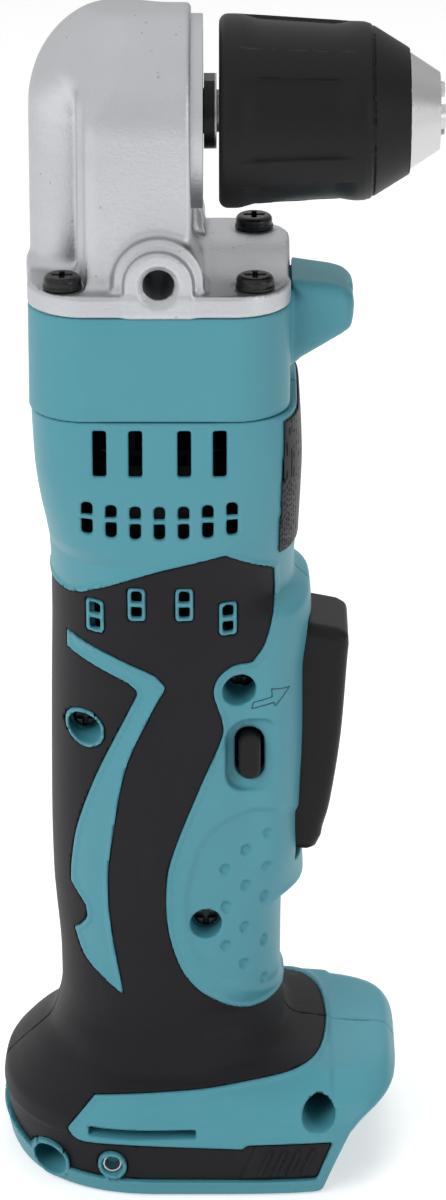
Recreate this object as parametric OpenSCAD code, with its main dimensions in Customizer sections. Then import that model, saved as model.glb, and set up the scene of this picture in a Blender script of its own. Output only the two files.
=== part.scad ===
// Cordless right angle drill, bare tool.
// Frame: millimetres, +X towards the chuck, +Z up the handle, motor axis on Z,
// z = 0 on the underside of the battery base. The right side is -Y.

/* [Housing] */
// Wall of the two clamshell halves
wall = 2.4; // [2:0.1:2.8]
// Thickness of the rubber overmould
rubber_t = 1.2; // [0.8:0.1:1.6]
// Air between the overmould and the shell under it
rubber_gap = 0.1; // [0.05:0.05:0.2]
// Height of the joint between clamshell and gear case
seam_z = 185; // [183:1:188]
// Radius of the screw bosses
boss_r = 4.2; // [3.9:0.1:4.6]
// Radius of the screw recesses
recess_r = 3.7; // [3.5:0.1:3.8]
// Seats of the deep screw heads from the middle plane
seat_y = 12; // [10:1:14]
// Seat of the screw head in the grip, just under the surface
high_seat_y = 19; // [18:0.5:20]

/* [Gear case] */
// Half length of the flange along X
flange_x = 28.9; // [28.5:0.1:30]
// Half width of the flange along Y
flange_y = 28.5; // [28.2:0.1:30]
// Corner radius of the flange
flange_r = 13; // [11:0.5:14]
// Height of the gear case cover
cover_h = 24; // [23:0.5:26]
// Thickness of the head's flange
flange_t = 5; // [4:0.5:6]
// Wall of the gear case cover's floor
cover_floor = 3; // [2.5:0.5:3.5]

/* [Head] */
// Spindle axis above the flange's underside
spindle_rise = 38.5; // [38:0.5:41]
// Outer radius of the arch round the spindle
arch_r = 23.7; // [22.5:0.1:24.5]
// Front face of the arch
arch_front = 7; // [6.8:0.1:8]
// Rear face of the arch
arch_back = 17.8; // [17:0.1:19]
// Radius of the rear column
column_r = 17; // [16:0.5:18]
// Rear end of the head
head_back = 28.3; // [27.8:0.1:29]
// Radius of the bearing retainer's disc
retainer_r = 21.3; // [20.5:0.1:22]
// Thickness of the bearing retainer's disc
retainer_t = 2.6; // [2.2:0.1:3]
// Radius of the gear chamber
chamber_r = 18.4; // [18.1:0.1:19]
// Radius of the side handle's M8 thread
handle_thread_r = 3.4; // [3.2:0.1:3.6]
// Depth of the side handle's thread
handle_thread_l = 11; // [9:1:13]

/* [Gears] */
// Module of the bevel pair
bevel_m = 0.9; // [0.88:0.01:0.92]
// Teeth of the bevel pinion
pinion_n = 10; // [10:1:10]
// Teeth of the bevel wheel
wheel_n = 38; // [38:1:38]
// Face width of the bevel teeth
bevel_face = 5.5; // [4.5:0.5:6]
// Module of the planetary stage
planet_m = 0.8; // [0.78:0.01:0.82]
// Teeth of the sun
sun_n = 18; // [18:12:18]
// Teeth of each planet
planet_n = 12; // [12:6:12]
// Play between meshing teeth
backlash = 0.18; // [0.14:0.02:0.2]
// Face width of the planets
planet_h = 7; // [6:0.5:7.5]
// Radius of the planet pins
planet_pin_r = 1.75; // [1.5:0.05:1.9]

/* [Shafts] */
// Radius of the spindle
spindle_r = 5; // [4.8:0.1:5.2]
// Radius of the pinion shaft
pinion_shaft_r = 4; // [3.8:0.1:4.2]
// Radius of the motor shaft
shaft_r = 2.5; // [2.2:0.1:2.8]
// Radial play of shafts and pins that turn
run_gap = 0.05; // [0.03:0.01:0.08]

/* [Motor] */
// Radius of the motor can
can_r = 19.5; // [18.5:0.1:19.8]
// Wall of the motor can
can_t = 1.5; // [1.2:0.1:1.8]
// Length of the motor can
can_l = 35.5; // [33:0.5:36]
// Height of the brush holder
brush_h = 12; // [11:0.5:12.5]
// Air between magnets and armature
air_gap = 0.45; // [0.35:0.05:0.6]
// Thickness of the magnets
magnet_t = 2.8; // [2.4:0.1:3.2]
// Radius of the commutator
comm_r = 6.5; // [6:0.1:7]
// Radius of the fan
fan_r = 17.5; // [16.5:0.5:18]

/* [Chuck] */
// Rear radius of the chuck sleeve
sleeve_r = 21.25; // [20.5:0.25:22]
// Rear face of the chuck
chuck_x = 13.1; // [13:0.1:14]
// Length of the chuck sleeve
sleeve_l = 41.9; // [41:0.5:43]
// Radius of the chuck body
chuck_r = 13; // [12.8:0.1:13.4]
// Radius of the jaws' cylinders
jaw_r = 3; // [2.8:0.1:3.2]
// Jaw angle to the spindle axis
jaw_angle = 20; // [19:0.5:21]
// Opening radius between the jaws as shown
grip_r = 3.6; // [3.5:0.05:3.7]
// Jaw tips in front of the chuck's nose
jaw_out = 1.1; // [0.8:0.1:1.4]

/* [Trigger] */
// Half width of the trigger paddle
paddle_w = 11.5; // [11:0.5:12.5]
// Wall of the paddle
paddle_t = 2.2; // [1.8:0.1:2.6]
// Side play of the paddle in its slot
paddle_gap = 0.4; // [0.3:0.1:0.6]
// Radius of the paddle's pivot pin
pivot_r = 1.5; // [1.3:0.1:1.8]

/* [Base] */
// Half width of the battery bay between the rails
bay_w = 27; // [26:0.5:28]
// Half width of the battery bay above the rails
bay_wide = 32; // [31:0.5:33]
// Height of the rails
rail_h = 4; // [3.5:0.5:5]
// Ceiling of the battery bay
bay_z = 13.6; // [13.2:0.1:14]

/* [Hidden] */
$fn = 48;

TEAL = [0.28, 0.56, 0.62];
CHARCOAL = [0.13, 0.13, 0.15];
BLACK = [0.07, 0.07, 0.08];
STEEL = [0.66, 0.67, 0.69];
ALLOY = [0.80, 0.81, 0.82];
BRONZE = [0.66, 0.48, 0.25];
COPPER = [0.72, 0.42, 0.22];

// Half width of the base: the battery bay and the walls beside it
rail_wall = 7.5;
base_w = bay_wide + rail_wall;

// Body sections by hand from the outline: height, front, back, half width, squareness
STATIONS = [
  [0, 53.6, 35.2, base_w - 0.8, 4.6], [2.5, 54.2, 36.4, base_w - 0.1, 4.6], [7, 54.4, 37.3, base_w, 4.6],
  [13, 54.6, 37.9, base_w, 4.6], [16.6, 54.6, 37.3, base_w - 0.5, 4.5], [20, 54.4, 34.4, base_w - 2.3, 4.3],
  [23, 53.9, 31.1, 33.8, 4.4], [25, 53.1, 29.2, 31, 4.4], [26, 51.6, 28.2, 29, 4.4],
  [27, 40, 27.3, 28.2, 3.6], [28.4, 30.6, 26.2, 27.6, 2.9], [31.4, 28.2, 24.8, 26.4, 2.6],
  [35, 27.9, 23.9, 25.3, 2.5], [39, 27.9, 23.5, 24.8, 2.4], [46, 28, 23.6, 24.6, 2.4], [61.5, 28.2, 24.8, 24.4, 2.3], [65.8, 33.2, 25.1, 24.6, 2.3],
  [82, 32.3, 25.4, 25, 2.3], [107, 33, 25.2, 25.9, 2.3], [120, 32.9, 25, 26.4, 2.3],
  [132, 34, 24.8, 26.9, 2.35], [137, 33.6, 24.8, 27.1, 2.4], [141.5, 30, 24.8, 27.3, 2.5],
  [149.5, 30.3, 25.2, 27.7, 2.8], [154, 30.5, 25.6, 28, 3.1], [163.5, 30.9, 27.2, 28.4, 3.7],
  [171, 31.1, 28, 28.6, 4.3], [seam_z, 30.4, 28.7, 28.6, 4.5]];

// Front edge of the overmould by hand: height, x
GRIP_EDGE = [[3.4, 20], [12.4, 20], [13.4, -21], [16.6, -21.4], [20, -18.8], [22.8, -15], [24, 0],
  [25, 15], [26, 28], [27, 36.5], [28.4, 29.4], [31.4, 27.4], [35, 27.2], [39, 26],
  [39.8, 17.6], [43, 12], [46.5, 7.6], [53, 3.6], [62, -1], [72, -0.6], [80, 1.5], [90, 5],
  [100, 9], [108, 12.5], [112, 11.6], [118, 11.2], [123, 13.4], [127, 18.5], [133, 21.5],
  [141, 24.4], [146.5, 24]];

FLANGE_SCREWS = [[21, 21.4], [-21, 21.4], [21, -21.4], [-21, -21.4]];

// Heights of the stack along the motor axis
flange_z = seam_z + cover_h;
head_z = flange_z + flange_t;
spindle_z = flange_z + spindle_rise;
spigot_z = flange_z - 6;
pinion_brg_z = spigot_z + 1;
carrier_h = 4.6;
carrier_z = spigot_z - 0.8 - carrier_h;
planet_z = carrier_z - 1.1 - planet_h;
ring_z = seam_z + cover_floor + 0.4;
fan_h = 7.5;
fan_z = seam_z - 4.5 - fan_h;
can_z = fan_z - 1.5 - can_l;
brush_z = can_z - brush_h;
shaft_z = brush_z + 0.5;

// Housing screws in the side view, with the depth of each head's seat; the upper two stay under the motor
SCREWS = [[-17.1, brush_z - 14.2, seat_y], [17.4, brush_z - 5.6, seat_y], [10.1, 61.5, high_seat_y],
  [35.9, 18.9, seat_y], [-25.8, 7.4, seat_y]];

// Bevel pair, apex on the spindle axis
pinion_pitch_r = bevel_m*pinion_n/2;
wheel_pitch_r = bevel_m*wheel_n/2;
cone_l = sqrt(pow(pinion_pitch_r, 2) + pow(wheel_pitch_r, 2));
pinion_cone = atan(pinion_n/wheel_n);
bevel_pressure = 25;
bevel_add = 0.8;
bevel_ded = 1.05;

// Planetary stage
ring_n = sun_n + 2*planet_n;
planet_orbit = planet_m*(sun_n + planet_n)/2;
ring_r = planet_m*ring_n/2 + 4.2;
planet_pressure = 20;

// Chuck
nose_x = chuck_x + 48.4;
jaw_tip_x = nose_x + jaw_out;
jaw_axis_r = grip_r - 0.45;
jaw_back_x = jaw_tip_x - 22.6;
nut_x = chuck_x + 28.9;
nut_l = 6;
jaw_gap = 0.06;

// Trigger, switch behind it and direction lever above the switch
paddle_z0 = 75.6;
paddle_z1 = 130.4;
slot_gap = 1.6;
pivot_x = 22;
pivot_z = paddle_z0 - 4.6;
plunger_z = pivot_z + 19;
switch_x = [-4, 16];
switch_z = [plunger_z - 16, plunger_z + 8];
lever_x = 19.7;
lever_z = switch_z[1] + 4.5;

function mix(a, b, f) = a + (b - a)*f;
function bracket(table, z) =
  max([for (k = [0:len(table) - 2]) if (z >= table[k][0] || k == 0) k]);
function along(table, z) = let (
  k = bracket(table, z), a = table[k], b = table[k + 1],
  f = min(1, max(0, (z - a[0])/(b[0] - a[0]))))
  [for (j = [1:len(a) - 1]) mix(a[j], b[j], f)];

// Section of the bare shell: the overmould's thickness comes off back and sides below its top
grip_top = GRIP_EDGE[len(GRIP_EDGE) - 1][0];
function sunk(z) = z <= grip_top + 0.5 ? rubber_t + rubber_gap : 0;
function shell(z) = let (s = along(STATIONS, z)) [s[0], s[1] - sunk(z), s[2] - sunk(z), s[3]];
function shell_in(z) = let (
  s = shell(z), up = shell(z + wall), down = shell(max(0, z - wall)))
  [for (j = [0:2]) min(s[j] - wall, up[j], down[j] + (z < wall ? -wall : 0))];

// Point of a section on the right side, t from 0 at the front to 180 at the back
function on_section(s, t, n, z) = let (c = cos(t), q = 2/n)
  [sign(c)*(c >= 0 ? s[0] : s[1])*pow(abs(c), q), -s[2]*pow(abs(sin(t)), q), z];
// Half width of the shell at a point of the side view
function side_y(x, z) = let (s = shell(z), a = x >= 0 ? s[0] : s[1])
  s[2]*pow(max(0, 1 - pow(abs(x)/a, s[3])), 1/s[3]);
// Section angle at which the outside has this x
function angle_at(s, x) = let (a = x >= 0 ? s[0] : s[1],
  u = acos(pow(min(1, abs(x)/a), s[3]/2))) x >= 0 ? u : 180 - u;

// Closed skin between matching outer and inner rows of points
module skin(outer, inner) {
  rows = len(outer);
  cols = len(outer[0]);
  points = concat([for (r = outer) each r], [for (r = inner) each r]);
  function id(k, i, j) = k*rows*cols + i*cols + j;
  function quad(a, b, c, d) = [[a, c, b], [a, d, c]];
  faces = concat(
    [for (i = [0:rows - 2], j = [0:cols - 2])
      each quad(id(0, i, j), id(0, i + 1, j), id(0, i + 1, j + 1), id(0, i, j + 1))],
    [for (i = [0:rows - 2], j = [0:cols - 2])
      each quad(id(1, i, j), id(1, i, j + 1), id(1, i + 1, j + 1), id(1, i + 1, j))],
    [for (j = [0:cols - 2]) each quad(id(0, 0, j), id(0, 0, j + 1), id(1, 0, j + 1), id(1, 0, j))],
    [for (j = [0:cols - 2]) each quad(id(0, rows - 1, j), id(1, rows - 1, j),
      id(1, rows - 1, j + 1), id(0, rows - 1, j + 1))],
    [for (i = [0:rows - 2]) each quad(id(0, i, 0), id(1, i, 0), id(1, i + 1, 0), id(0, i + 1, 0))],
    [for (i = [0:rows - 2]) each quad(id(0, i, cols - 1), id(0, i + 1, cols - 1),
      id(1, i + 1, cols - 1), id(1, i, cols - 1))]);
  polyhedron(points, faces);
}

shell_cols = 20;
function shell_row(s, n, z) = [for (j = [0:shell_cols]) on_section(s, 180*j/shell_cols, n, z)];
shell_rows = [for (s = STATIONS) s[0]];

module half_shell() {
  skin([for (z = shell_rows) shell_row(shell(z), shell(z)[3], z)],
    [for (z = shell_rows) shell_row(shell_in(z), shell(z)[3], z)]);
}

// Half outline of the shell's inside at a height, a little into its wall, behind a given x
into = 0.5;
function inside_outline(z, x1) = let (s = concat(shell_in(z) + into*[1, 1, 1], shell(z)[3]),
  t0 = x1 >= s[0] ? 0 : angle_at(s, x1))
  concat(x1 >= s[0] ? [] : [[x1, 0]], [for (j = [0:shell_cols])
    let (p = on_section(s, mix(t0, 180, j/shell_cols), s[3], z)) [p[0], p[1]]]);
module inside_plate(z, h, x1 = 100) translate([0, 0, z]) linear_extrude(h)
  polygon(inside_outline(z + h/2, x1));
// How far a boss or post of this half size reaches towards the shell without breaking through
function reach(x, z, rx, rz) =
  min([for (dx = [-rx, rx], dz = [-rz, rz]) side_y(x + dx, z + dz)]) - into;

module slab_y(profile, half) translate([0, half, 0]) rotate([90, 0, 0])
  linear_extrude(2*half) polygon(profile);
module along_y(x, z, r, y0, y1) translate([x, y0, z]) rotate([-90, 0, 0]) cylinder(r = r, h = y1 - y0);
module along_x(x0, x1, r, z) translate([x0, 0, z]) rotate([0, 90, 0]) cylinder(r = r, h = x1 - x0);
module ring(r0, r1, z0, z1) translate([0, 0, z0]) difference() {
  cylinder(r = r1, h = z1 - z0);
  translate([0, 0, -1]) cylinder(r = r0, h = z1 - z0 + 2);
}
module box(lo, hi) translate(lo) cube(hi - lo);
module mirrored() { children(); mirror([0, 1, 0]) children(); }
module turned(profile, x0 = 0) translate([x0, 0, spindle_z]) rotate([0, 90, 0])
  rotate_extrude() polygon([for (p = profile) [p[1], p[0]]]);
module rounded_plate(hx, hy, r, h) linear_extrude(h) {
  square([2*hx, 2*(hy - r)], center = true);
  square([2*(hx - r), 2*hy], center = true);
  for (a = [-1, 1], b = [-1, 1]) translate([a*(hx - r), b*(hy - r)]) circle(r);
}

/* Gear teeth */
function inv_angle(a) = tan(a)*180/PI - a;
// Half angle of a tooth at radius r of a gear with pitch radius p and n teeth
function half_tooth(r, p, n, pressure, play) = let (
  q = p*cos(pressure)/r, a = q >= 1 ? 0 : acos(q))
  90/n + inv_angle(pressure) - inv_angle(a) - play/p*90/PI;
flank = 4;
function tooth_steps(lo, hi) = [for (k = [0:flank]) mix(lo, hi, k/flank)];
function gear_outline(n, m, pressure, play, add, ded) = let (
  p = m*n/2, steps = tooth_steps(p - ded*m, p + add*m))
  [for (i = [0:n - 1], side = [-1, 1], k = [0:flank]) let (
    r = steps[side < 0 ? k : flank - k],
    a = 360*i/n + side*half_tooth(r, p, n, pressure, play)) r*[cos(a), sin(a)]];

// Bevel teeth round +Z, apex at the origin, teeth between two spheres about it
module bevel_teeth(n, cone) {
  p = bevel_m*n/2/cos(cone);
  steps = tooth_steps(-bevel_ded*bevel_m, bevel_add*bevel_m);
  row = [for (i = [0:n - 1], side = [-1, 1], k = [0:flank]) let (
    d = steps[side < 0 ? k : flank - k],
    a = 360*i/n + side*half_tooth(p + d, p, n/cos(cone), bevel_pressure, backlash)/cos(cone))
    [a, cone + atan(d/cone_l)]];
  cols = len(row);
  root = cone - atan(bevel_ded*bevel_m/cone_l);
  points = concat(
    [for (l = [cone_l, cone_l - bevel_face], q = row)
      l*[sin(q[1])*cos(q[0]), sin(q[1])*sin(q[0]), cos(q[1])]],
    [[0, 0, cone_l*cos(root)], [0, 0, (cone_l - bevel_face)*cos(root)]]);
  faces = [for (j = [0:cols - 1]) let (k = (j + 1)%cols)
    each [[j, k, cols + k], [j, cols + k, cols + j], [2*cols, k, j], [2*cols + 1, cols + j, cols + k]]];
  polyhedron(points, faces);
}

/* Head */
module gear_housing() color(ALLOY) difference() {
  union() {
    translate([0, 0, flange_z]) rounded_plate(flange_x, flange_y, flange_r, flange_t);
    translate([0, 0, spigot_z]) cylinder(r = ring_r, h = flange_z - spigot_z);
    along_x(-arch_back, arch_front, arch_r, spindle_z);
    box([-arch_back, -arch_r, head_z - 1], [arch_front, arch_r, spindle_z]);
    rear_column();
    mirrored() along_y(0, handle_z, handle_boss_r, -flange_y - 0.4, -arch_r + 1);
    mirrored() box([-handle_boss_r, -flange_y, head_z - 1], [handle_boss_r, -arch_r + 1, handle_z]);
  }
  along_x(-arch_back + 2.5, arch_front + 1, chamber_r, spindle_z);
  along_x(-head_back + 2.4, 0, rear_bush_r, spindle_z);
  translate([0, 0, pinion_brg_z - 2]) cylinder(r = pinion_brg_r, h = 2 + pinion_brg_h);
  translate([0, 0, pinion_brg_z]) cylinder(r = pinion_clear_r, h = spindle_z - pinion_brg_z - 12);
  for (p = FLANGE_SCREWS) translate([p[0], p[1], 0]) {
    translate([0, 0, flange_z - 1]) cylinder(r = flange_hole_r, h = flange_t + 2);
    translate([0, 0, head_z]) cylinder(r = flange_head_r + spotface, h = flange_head_h + 3);
  }
  mirrored() box([-handle_boss_r - 1, -flange_y - 1, flange_z - handle_boss_r],
    [handle_boss_r + 1, -ring_r - 0.2, flange_z]);
  mirrored() along_y(0, handle_z, handle_thread_r, -flange_y - 1, -flange_y - 0.4 + handle_thread_l);
  mirrored() along_y(0, handle_z, handle_thread_r + 1.2, -flange_y - 1, -flange_y + 1);
  // Trough between the two front screw pads
  along_x(arch_front, flange_x + 1, trough_r, head_z + trough_r - trough_depth);
}
handle_z = head_z + 2.4;
handle_boss_r = 9.7;
pinion_brg_r = 9.5;
pinion_brg_h = 6;
pinion_clear_r = pinion_pitch_r + bevel_m + 0.4;
rear_bush_r = 8;
flange_hole_r = 2.75;
spotface = 0.5;
trough_r = 30;
trough_depth = 3.2;

// Half-round column behind the arch, rounded over at the top
module rear_column() {
  crown_r = 15;
  top = spindle_z + arch_r - 0.4 - head_z;
  translate([column_r - head_back, 0, head_z - 1]) rotate_extrude() intersection() {
    square([column_r, top + 1]);
    union() {
      square([column_r, top + 1 - crown_r]);
      square([column_r - crown_r, top + 1]);
      translate([column_r - crown_r, top + 1 - crown_r]) circle(crown_r);
    }
  }
}

front_brg_r = 11;
front_brg_l = 6;
front_brg_x = arch_front - front_brg_l;
module bearing_retainer() color(ALLOY) difference() {
  union() {
    along_x(arch_front, arch_front + retainer_t, retainer_r, spindle_z);
    along_x(front_brg_x, arch_front + 0.5, chamber_r - run_gap, spindle_z);
  }
  along_x(front_brg_x - 1, arch_front, front_brg_r, spindle_z);
  along_x(arch_front - 1, arch_front + retainer_t + 1, seal_r, spindle_z);
  translate([0, 0, spindle_z - chamber_r - 5]) cylinder(r = pinion_clear_r, h = chamber_r + 7 - front_brg_r);
}
seal_r = 8.4;
module spindle_seal() color(BLACK)
  turned([[0.1, spindle_r + run_gap], [retainer_t - 0.3, spindle_r + run_gap],
  [retainer_t - 0.3, seal_r], [0.1, seal_r]], arch_front);

// One race of a ball bearing along Z from 0, between two radii, grooved at the ball circle
module race(r0, r1, h, ball_orbit, groove) rotate_extrude() difference() {
  translate([r0, 0]) square([r1 - r0, h]);
  translate([ball_orbit, h/2]) circle(groove);
}
module balls(orbit, r, h, count) for (k = [0:count - 1]) rotate(360*k/count)
  translate([orbit, 0, h/2]) sphere(r);

ball_play = 0.08;
front_ball_orbit = (spindle_r + front_brg_r)/2;
front_ball_r = 1.7;
module spindle_bearing_outer() color(STEEL) translate([front_brg_x, 0, spindle_z]) rotate([0, 90, 0])
  race(front_ball_orbit + 1.1, front_brg_r, front_brg_l, front_ball_orbit, front_ball_r + ball_play);
module spindle_bearing_inner() color(STEEL) translate([front_brg_x, 0, spindle_z]) rotate([0, 90, 0]) {
  race(spindle_r, front_ball_orbit - 1.1, front_brg_l, front_ball_orbit, front_ball_r + ball_play);
  balls(front_ball_orbit, front_ball_r, front_brg_l, 8);
}
module spindle_rear_bush() color(BRONZE) turned([[0, spindle_r + run_gap], [9, spindle_r + run_gap],
  [9, rear_bush_r], [0, rear_bush_r]], -head_back + 2.4);

collar_x = arch_front + retainer_t + 0.2;
collar_l = chuck_x - 0.5 - collar_x;
collar_r = 8.3;
nose_r = 4.7;
nose_l = 12;
module spindle() color(STEEL) difference() {
  union() {
    along_x(-head_back + 2.7, collar_x + 0.5, spindle_r, spindle_z);
    intersection() {
      along_x(collar_x, collar_x + collar_l, collar_r, spindle_z);
      translate([collar_x, -collar_r - 1, spindle_z - collar_r + 0.6])
        cube([collar_l, 2*collar_r + 2, 2*collar_r - 1.2]);
    }
    along_x(collar_x + collar_l - 0.5, chuck_x + nose_l, nose_r, spindle_z);
  }
  along_x(chuck_x + 4, chuck_x + nose_l + 1, chuck_screw_r, spindle_z);
}

wheel_disc_x = pinion_pitch_r + 0.6;
wheel_disc_t = 4.5;
wheel_hub_r = 9;
wheel_hub_l = 9.5;
module bevel_wheel() color(STEEL) difference() {
  translate([0, 0, spindle_z]) rotate([0, -90, 0]) union() {
    bevel_teeth(wheel_n, 90 - pinion_cone);
    translate([0, 0, wheel_disc_x]) cylinder(r = wheel_pitch_r - 1.6, h = wheel_disc_t);
    translate([0, 0, wheel_disc_x]) cylinder(r = wheel_hub_r, h = wheel_hub_l);
  }
  along_x(-20, 0, spindle_r, spindle_z);
}

// The shaft ends under the wheel's teeth, and a neck within the root carries on into the pinion's teeth
pinion_root = atan(pinion_n/wheel_n) - atan(bevel_ded*bevel_m/cone_l);
pinion_end_z = spindle_z - cone_l*cos(pinion_root);
pinion_neck_r = pinion_pitch_r - bevel_ded*bevel_m - 0.25;
pinion_air = 0.2;
module bevel_pinion() color(STEEL) {
  translate([0, 0, spindle_z]) rotate([180, 0, 180/pinion_n]) bevel_teeth(pinion_n, pinion_cone);
  rotate_extrude() polygon([[0, carrier_z], [pinion_shaft_r, carrier_z],
    [pinion_shaft_r, pinion_end_z - pinion_air], [pinion_neck_r, pinion_end_z - pinion_air],
    [pinion_neck_r, pinion_end_z + 1], [0, pinion_end_z + 1]]);
}

pinion_ball_orbit = (pinion_shaft_r + pinion_brg_r)/2;
pinion_ball_r = 1.4;
module pinion_bearing_outer() color(STEEL) translate([0, 0, pinion_brg_z])
  race(pinion_ball_orbit + 1, pinion_brg_r, pinion_brg_h, pinion_ball_orbit, pinion_ball_r + ball_play);
module pinion_bearing_inner() color(STEEL) translate([0, 0, pinion_brg_z]) {
  race(pinion_shaft_r, pinion_ball_orbit - 1, pinion_brg_h, pinion_ball_orbit, pinion_ball_r + ball_play);
  balls(pinion_ball_orbit, pinion_ball_r, pinion_brg_h, 8);
}

/* Planetary stage */
carrier_r = planet_orbit + planet_pin_r + 2.6;
module at_planets() for (k = [0:2]) rotate(120*k) translate([planet_orbit, 0, 0]) children();
module planet_carrier() color(STEEL) difference() {
  translate([0, 0, carrier_z]) cylinder(r = carrier_r, h = carrier_h);
  translate([0, 0, carrier_z - 1]) cylinder(r = pinion_shaft_r, h = carrier_h + 2);
  translate([0, 0, carrier_z - 1]) at_planets() cylinder(r = planet_pin_r, h = carrier_h + 2);
}
module planet_pins() color(STEEL) translate([0, 0, planet_z - 0.4]) at_planets()
  cylinder(r = planet_pin_r, h = carrier_z + carrier_h - planet_z + 0.4);
module planet(k) color(STEEL) rotate(120*k) translate([planet_orbit, 0, planet_z]) rotate(-120*k)
  linear_extrude(planet_h) difference() {
    rotate(180/planet_n) polygon(gear_outline(planet_n, planet_m, planet_pressure, backlash, 0.9, 1.2));
    circle(planet_pin_r + run_gap);
  }
module planet_a() planet(0);
module planet_b() planet(1);
module planet_c() planet(2);
module sun_gear() color(STEEL) translate([0, 0, planet_z - 0.3])
  linear_extrude(planet_h + 0.6) difference() {
  polygon(gear_outline(sun_n, planet_m, planet_pressure, backlash, 0.8, 1.2));
  circle(shaft_r);
}
module ring_gear() color(STEEL) difference() {
  translate([0, 0, ring_z]) cylinder(r = ring_r, h = spigot_z - ring_z);
  translate([0, 0, ring_z - 1]) linear_extrude(carrier_z - ring_z + 1) rotate(180/ring_n)
    polygon(gear_outline(ring_n, planet_m, planet_pressure, -backlash, 1.2, 0.5));
  translate([0, 0, carrier_z - 0.5]) cylinder(r = carrier_r + 1, h = spigot_z - carrier_z + 1);
}

/* Gear case cover with the lamp's nose */
motor_brg_r = 8;
motor_brg_h = 5;
motor_brg_z = seam_z - 3;
lens_r = 4.5;
lens_l = 4.4;
lens_z = seam_z + 18.8;
lens_x = 42.4;
lamp_w = 10.5;
lamp_board_w = 6;
lamp_board_t = 1.5;
lamp_board_x = lens_x - lens_l - 0.6 - lamp_board_t;
lamp_root_x = flange_x - 4.9;
lamp_profile = [[lamp_root_x, seam_z + 5], [31.2, seam_z + 5.1], [lens_x - 0.1, seam_z + 14.1],
  [lens_x + 0.2, seam_z + 23.5], [38.8, seam_z + 26.7], [flange_x + 0.4, seam_z + 28.2],
  [flange_x + 0.4, flange_z], [lamp_root_x, flange_z]];
module gear_cover() color(TEAL) difference() {
  union() {
    translate([0, 0, seam_z]) rounded_plate(flange_x, flange_y, flange_r, cover_h);
    translate([0, 0, motor_brg_z - 0.5]) cylinder(r = motor_brg_r + 3, h = 4);
    slab_y(lamp_profile, lamp_w);
  }
  translate([0, 0, ring_z]) cylinder(r = ring_r, h = cover_h);
  translate([0, 0, motor_brg_z - 1]) cylinder(r = motor_brg_r, h = 1 + motor_brg_h);
  translate([0, 0, motor_brg_z]) cylinder(r = 6, h = cover_h);
  for (p = FLANGE_SCREWS) translate([p[0], p[1], seam_z - 1]) cylinder(r = flange_hole_r, h = cover_h + 2);
  along_x(lamp_board_x + lamp_board_t, lens_x + 2, lens_r, lens_z);
  box([lamp_board_x - 0.1, -lamp_board_w, seam_z + 4],
    [lamp_board_x + lamp_board_t + 0.1, lamp_board_w, lens_z + 5]);
}
module led_lens() color([0.95, 0.96, 0.9]) along_x(lens_x - lens_l, lens_x - 0.3, lens_r, lens_z);
led_r = 2.5;
module led_board() color([0.1, 0.35, 0.2]) {
  box([lamp_board_x, -lamp_board_w + 0.1, lens_z - 6],
    [lamp_board_x + lamp_board_t, lamp_board_w - 0.1, lens_z + 4.9]);
  along_x(lamp_board_x + lamp_board_t, lens_x - lens_l, led_r, lens_z);
}
flange_screw_end = seam_z - 15;
flange_head_r = 4.35;
flange_head_h = 2.9;
flange_screw_r = 2.5;
module flange_screws() color(BLACK) for (p = FLANGE_SCREWS) translate([p[0], p[1], 0]) difference() {
  union() {
    translate([0, 0, head_z]) cylinder(r = flange_head_r, h = flange_head_h);
    translate([0, 0, flange_screw_end]) cylinder(r = flange_screw_r, h = head_z - flange_screw_end + 0.5);
  }
  for (a = [0, 90]) rotate(a) translate([-2.6, -0.6, head_z + 1.4]) cube([5.2, 1.2, 3]);
}

/* Motor */
module motor_shaft() color(STEEL) translate([0, 0, shaft_z])
  cylinder(r = shaft_r, h = planet_z + planet_h + 0.3 - shaft_z);
module motor_front_bearing() color(STEEL)
  ring(shaft_r + run_gap, motor_brg_r, motor_brg_z, motor_brg_z + motor_brg_h);
rear_bush_h = 4;
motor_bush_r = 5;
module motor_rear_bush() color(BRONZE)
  ring(shaft_r + run_gap, motor_bush_r, brush_z + 0.4, brush_z + 0.4 + rear_bush_h);
module motor_can() color([0.35, 0.36, 0.38]) difference() {
  translate([0, 0, can_z]) cylinder(r = can_r, h = can_l);
  translate([0, 0, can_z - 1]) cylinder(r = can_r - can_t, h = can_l - can_t + 1);
  translate([0, 0, can_z]) cylinder(r = 8, h = can_l + 1);
  for (k = [0:5]) rotate(60*k + 30) translate([13, 0, can_z + can_l - 3]) cylinder(r = 3, h = 5);
}
magnet_r = can_r - can_t;
magnet_z = can_z + 4;
magnet_l = can_l - 9.5;
module motor_magnets() color([0.22, 0.22, 0.24]) for (a = [25, 205]) translate([0, 0, magnet_z]) rotate(a)
  rotate_extrude(angle = 130) translate([magnet_r - magnet_t, 0]) square([magnet_t, magnet_l]);
core_r = magnet_r - magnet_t - air_gap;
core_z = magnet_z + 3;
core_l = magnet_l - 6;
slots = 7;
module armature_core() color([0.5, 0.5, 0.52]) translate([0, 0, core_z])
  linear_extrude(core_l) difference() {
  circle(core_r);
  circle(shaft_r);
  for (k = [0:slots - 1]) rotate(360*k/slots) {
    translate([core_r - 3.6, 0]) circle(2.6);
    translate([core_r - 3.6, -0.9]) square([5, 1.8]);
  }
}
winding_h = 5;
module armature_windings() color(COPPER)
  for (z = [core_z - winding_h, core_z + core_l]) translate([0, 0, z])
  rotate_extrude() translate([shaft_r + 3.2, 0]) square([core_r - shaft_r - 4.4, winding_h]);
comm_z = brush_z + rear_bush_h + 0.7;
module commutator() color(COPPER) ring(shaft_r, comm_r, comm_z, core_z - winding_h - 0.3);
brush_w = 5;
brush_tall = 6;
brush_lo = comm_z + 0.6;
brush_wall = 1.4;
brush_far = -can_r + can_t + 0.8 + brush_wall;
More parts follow.
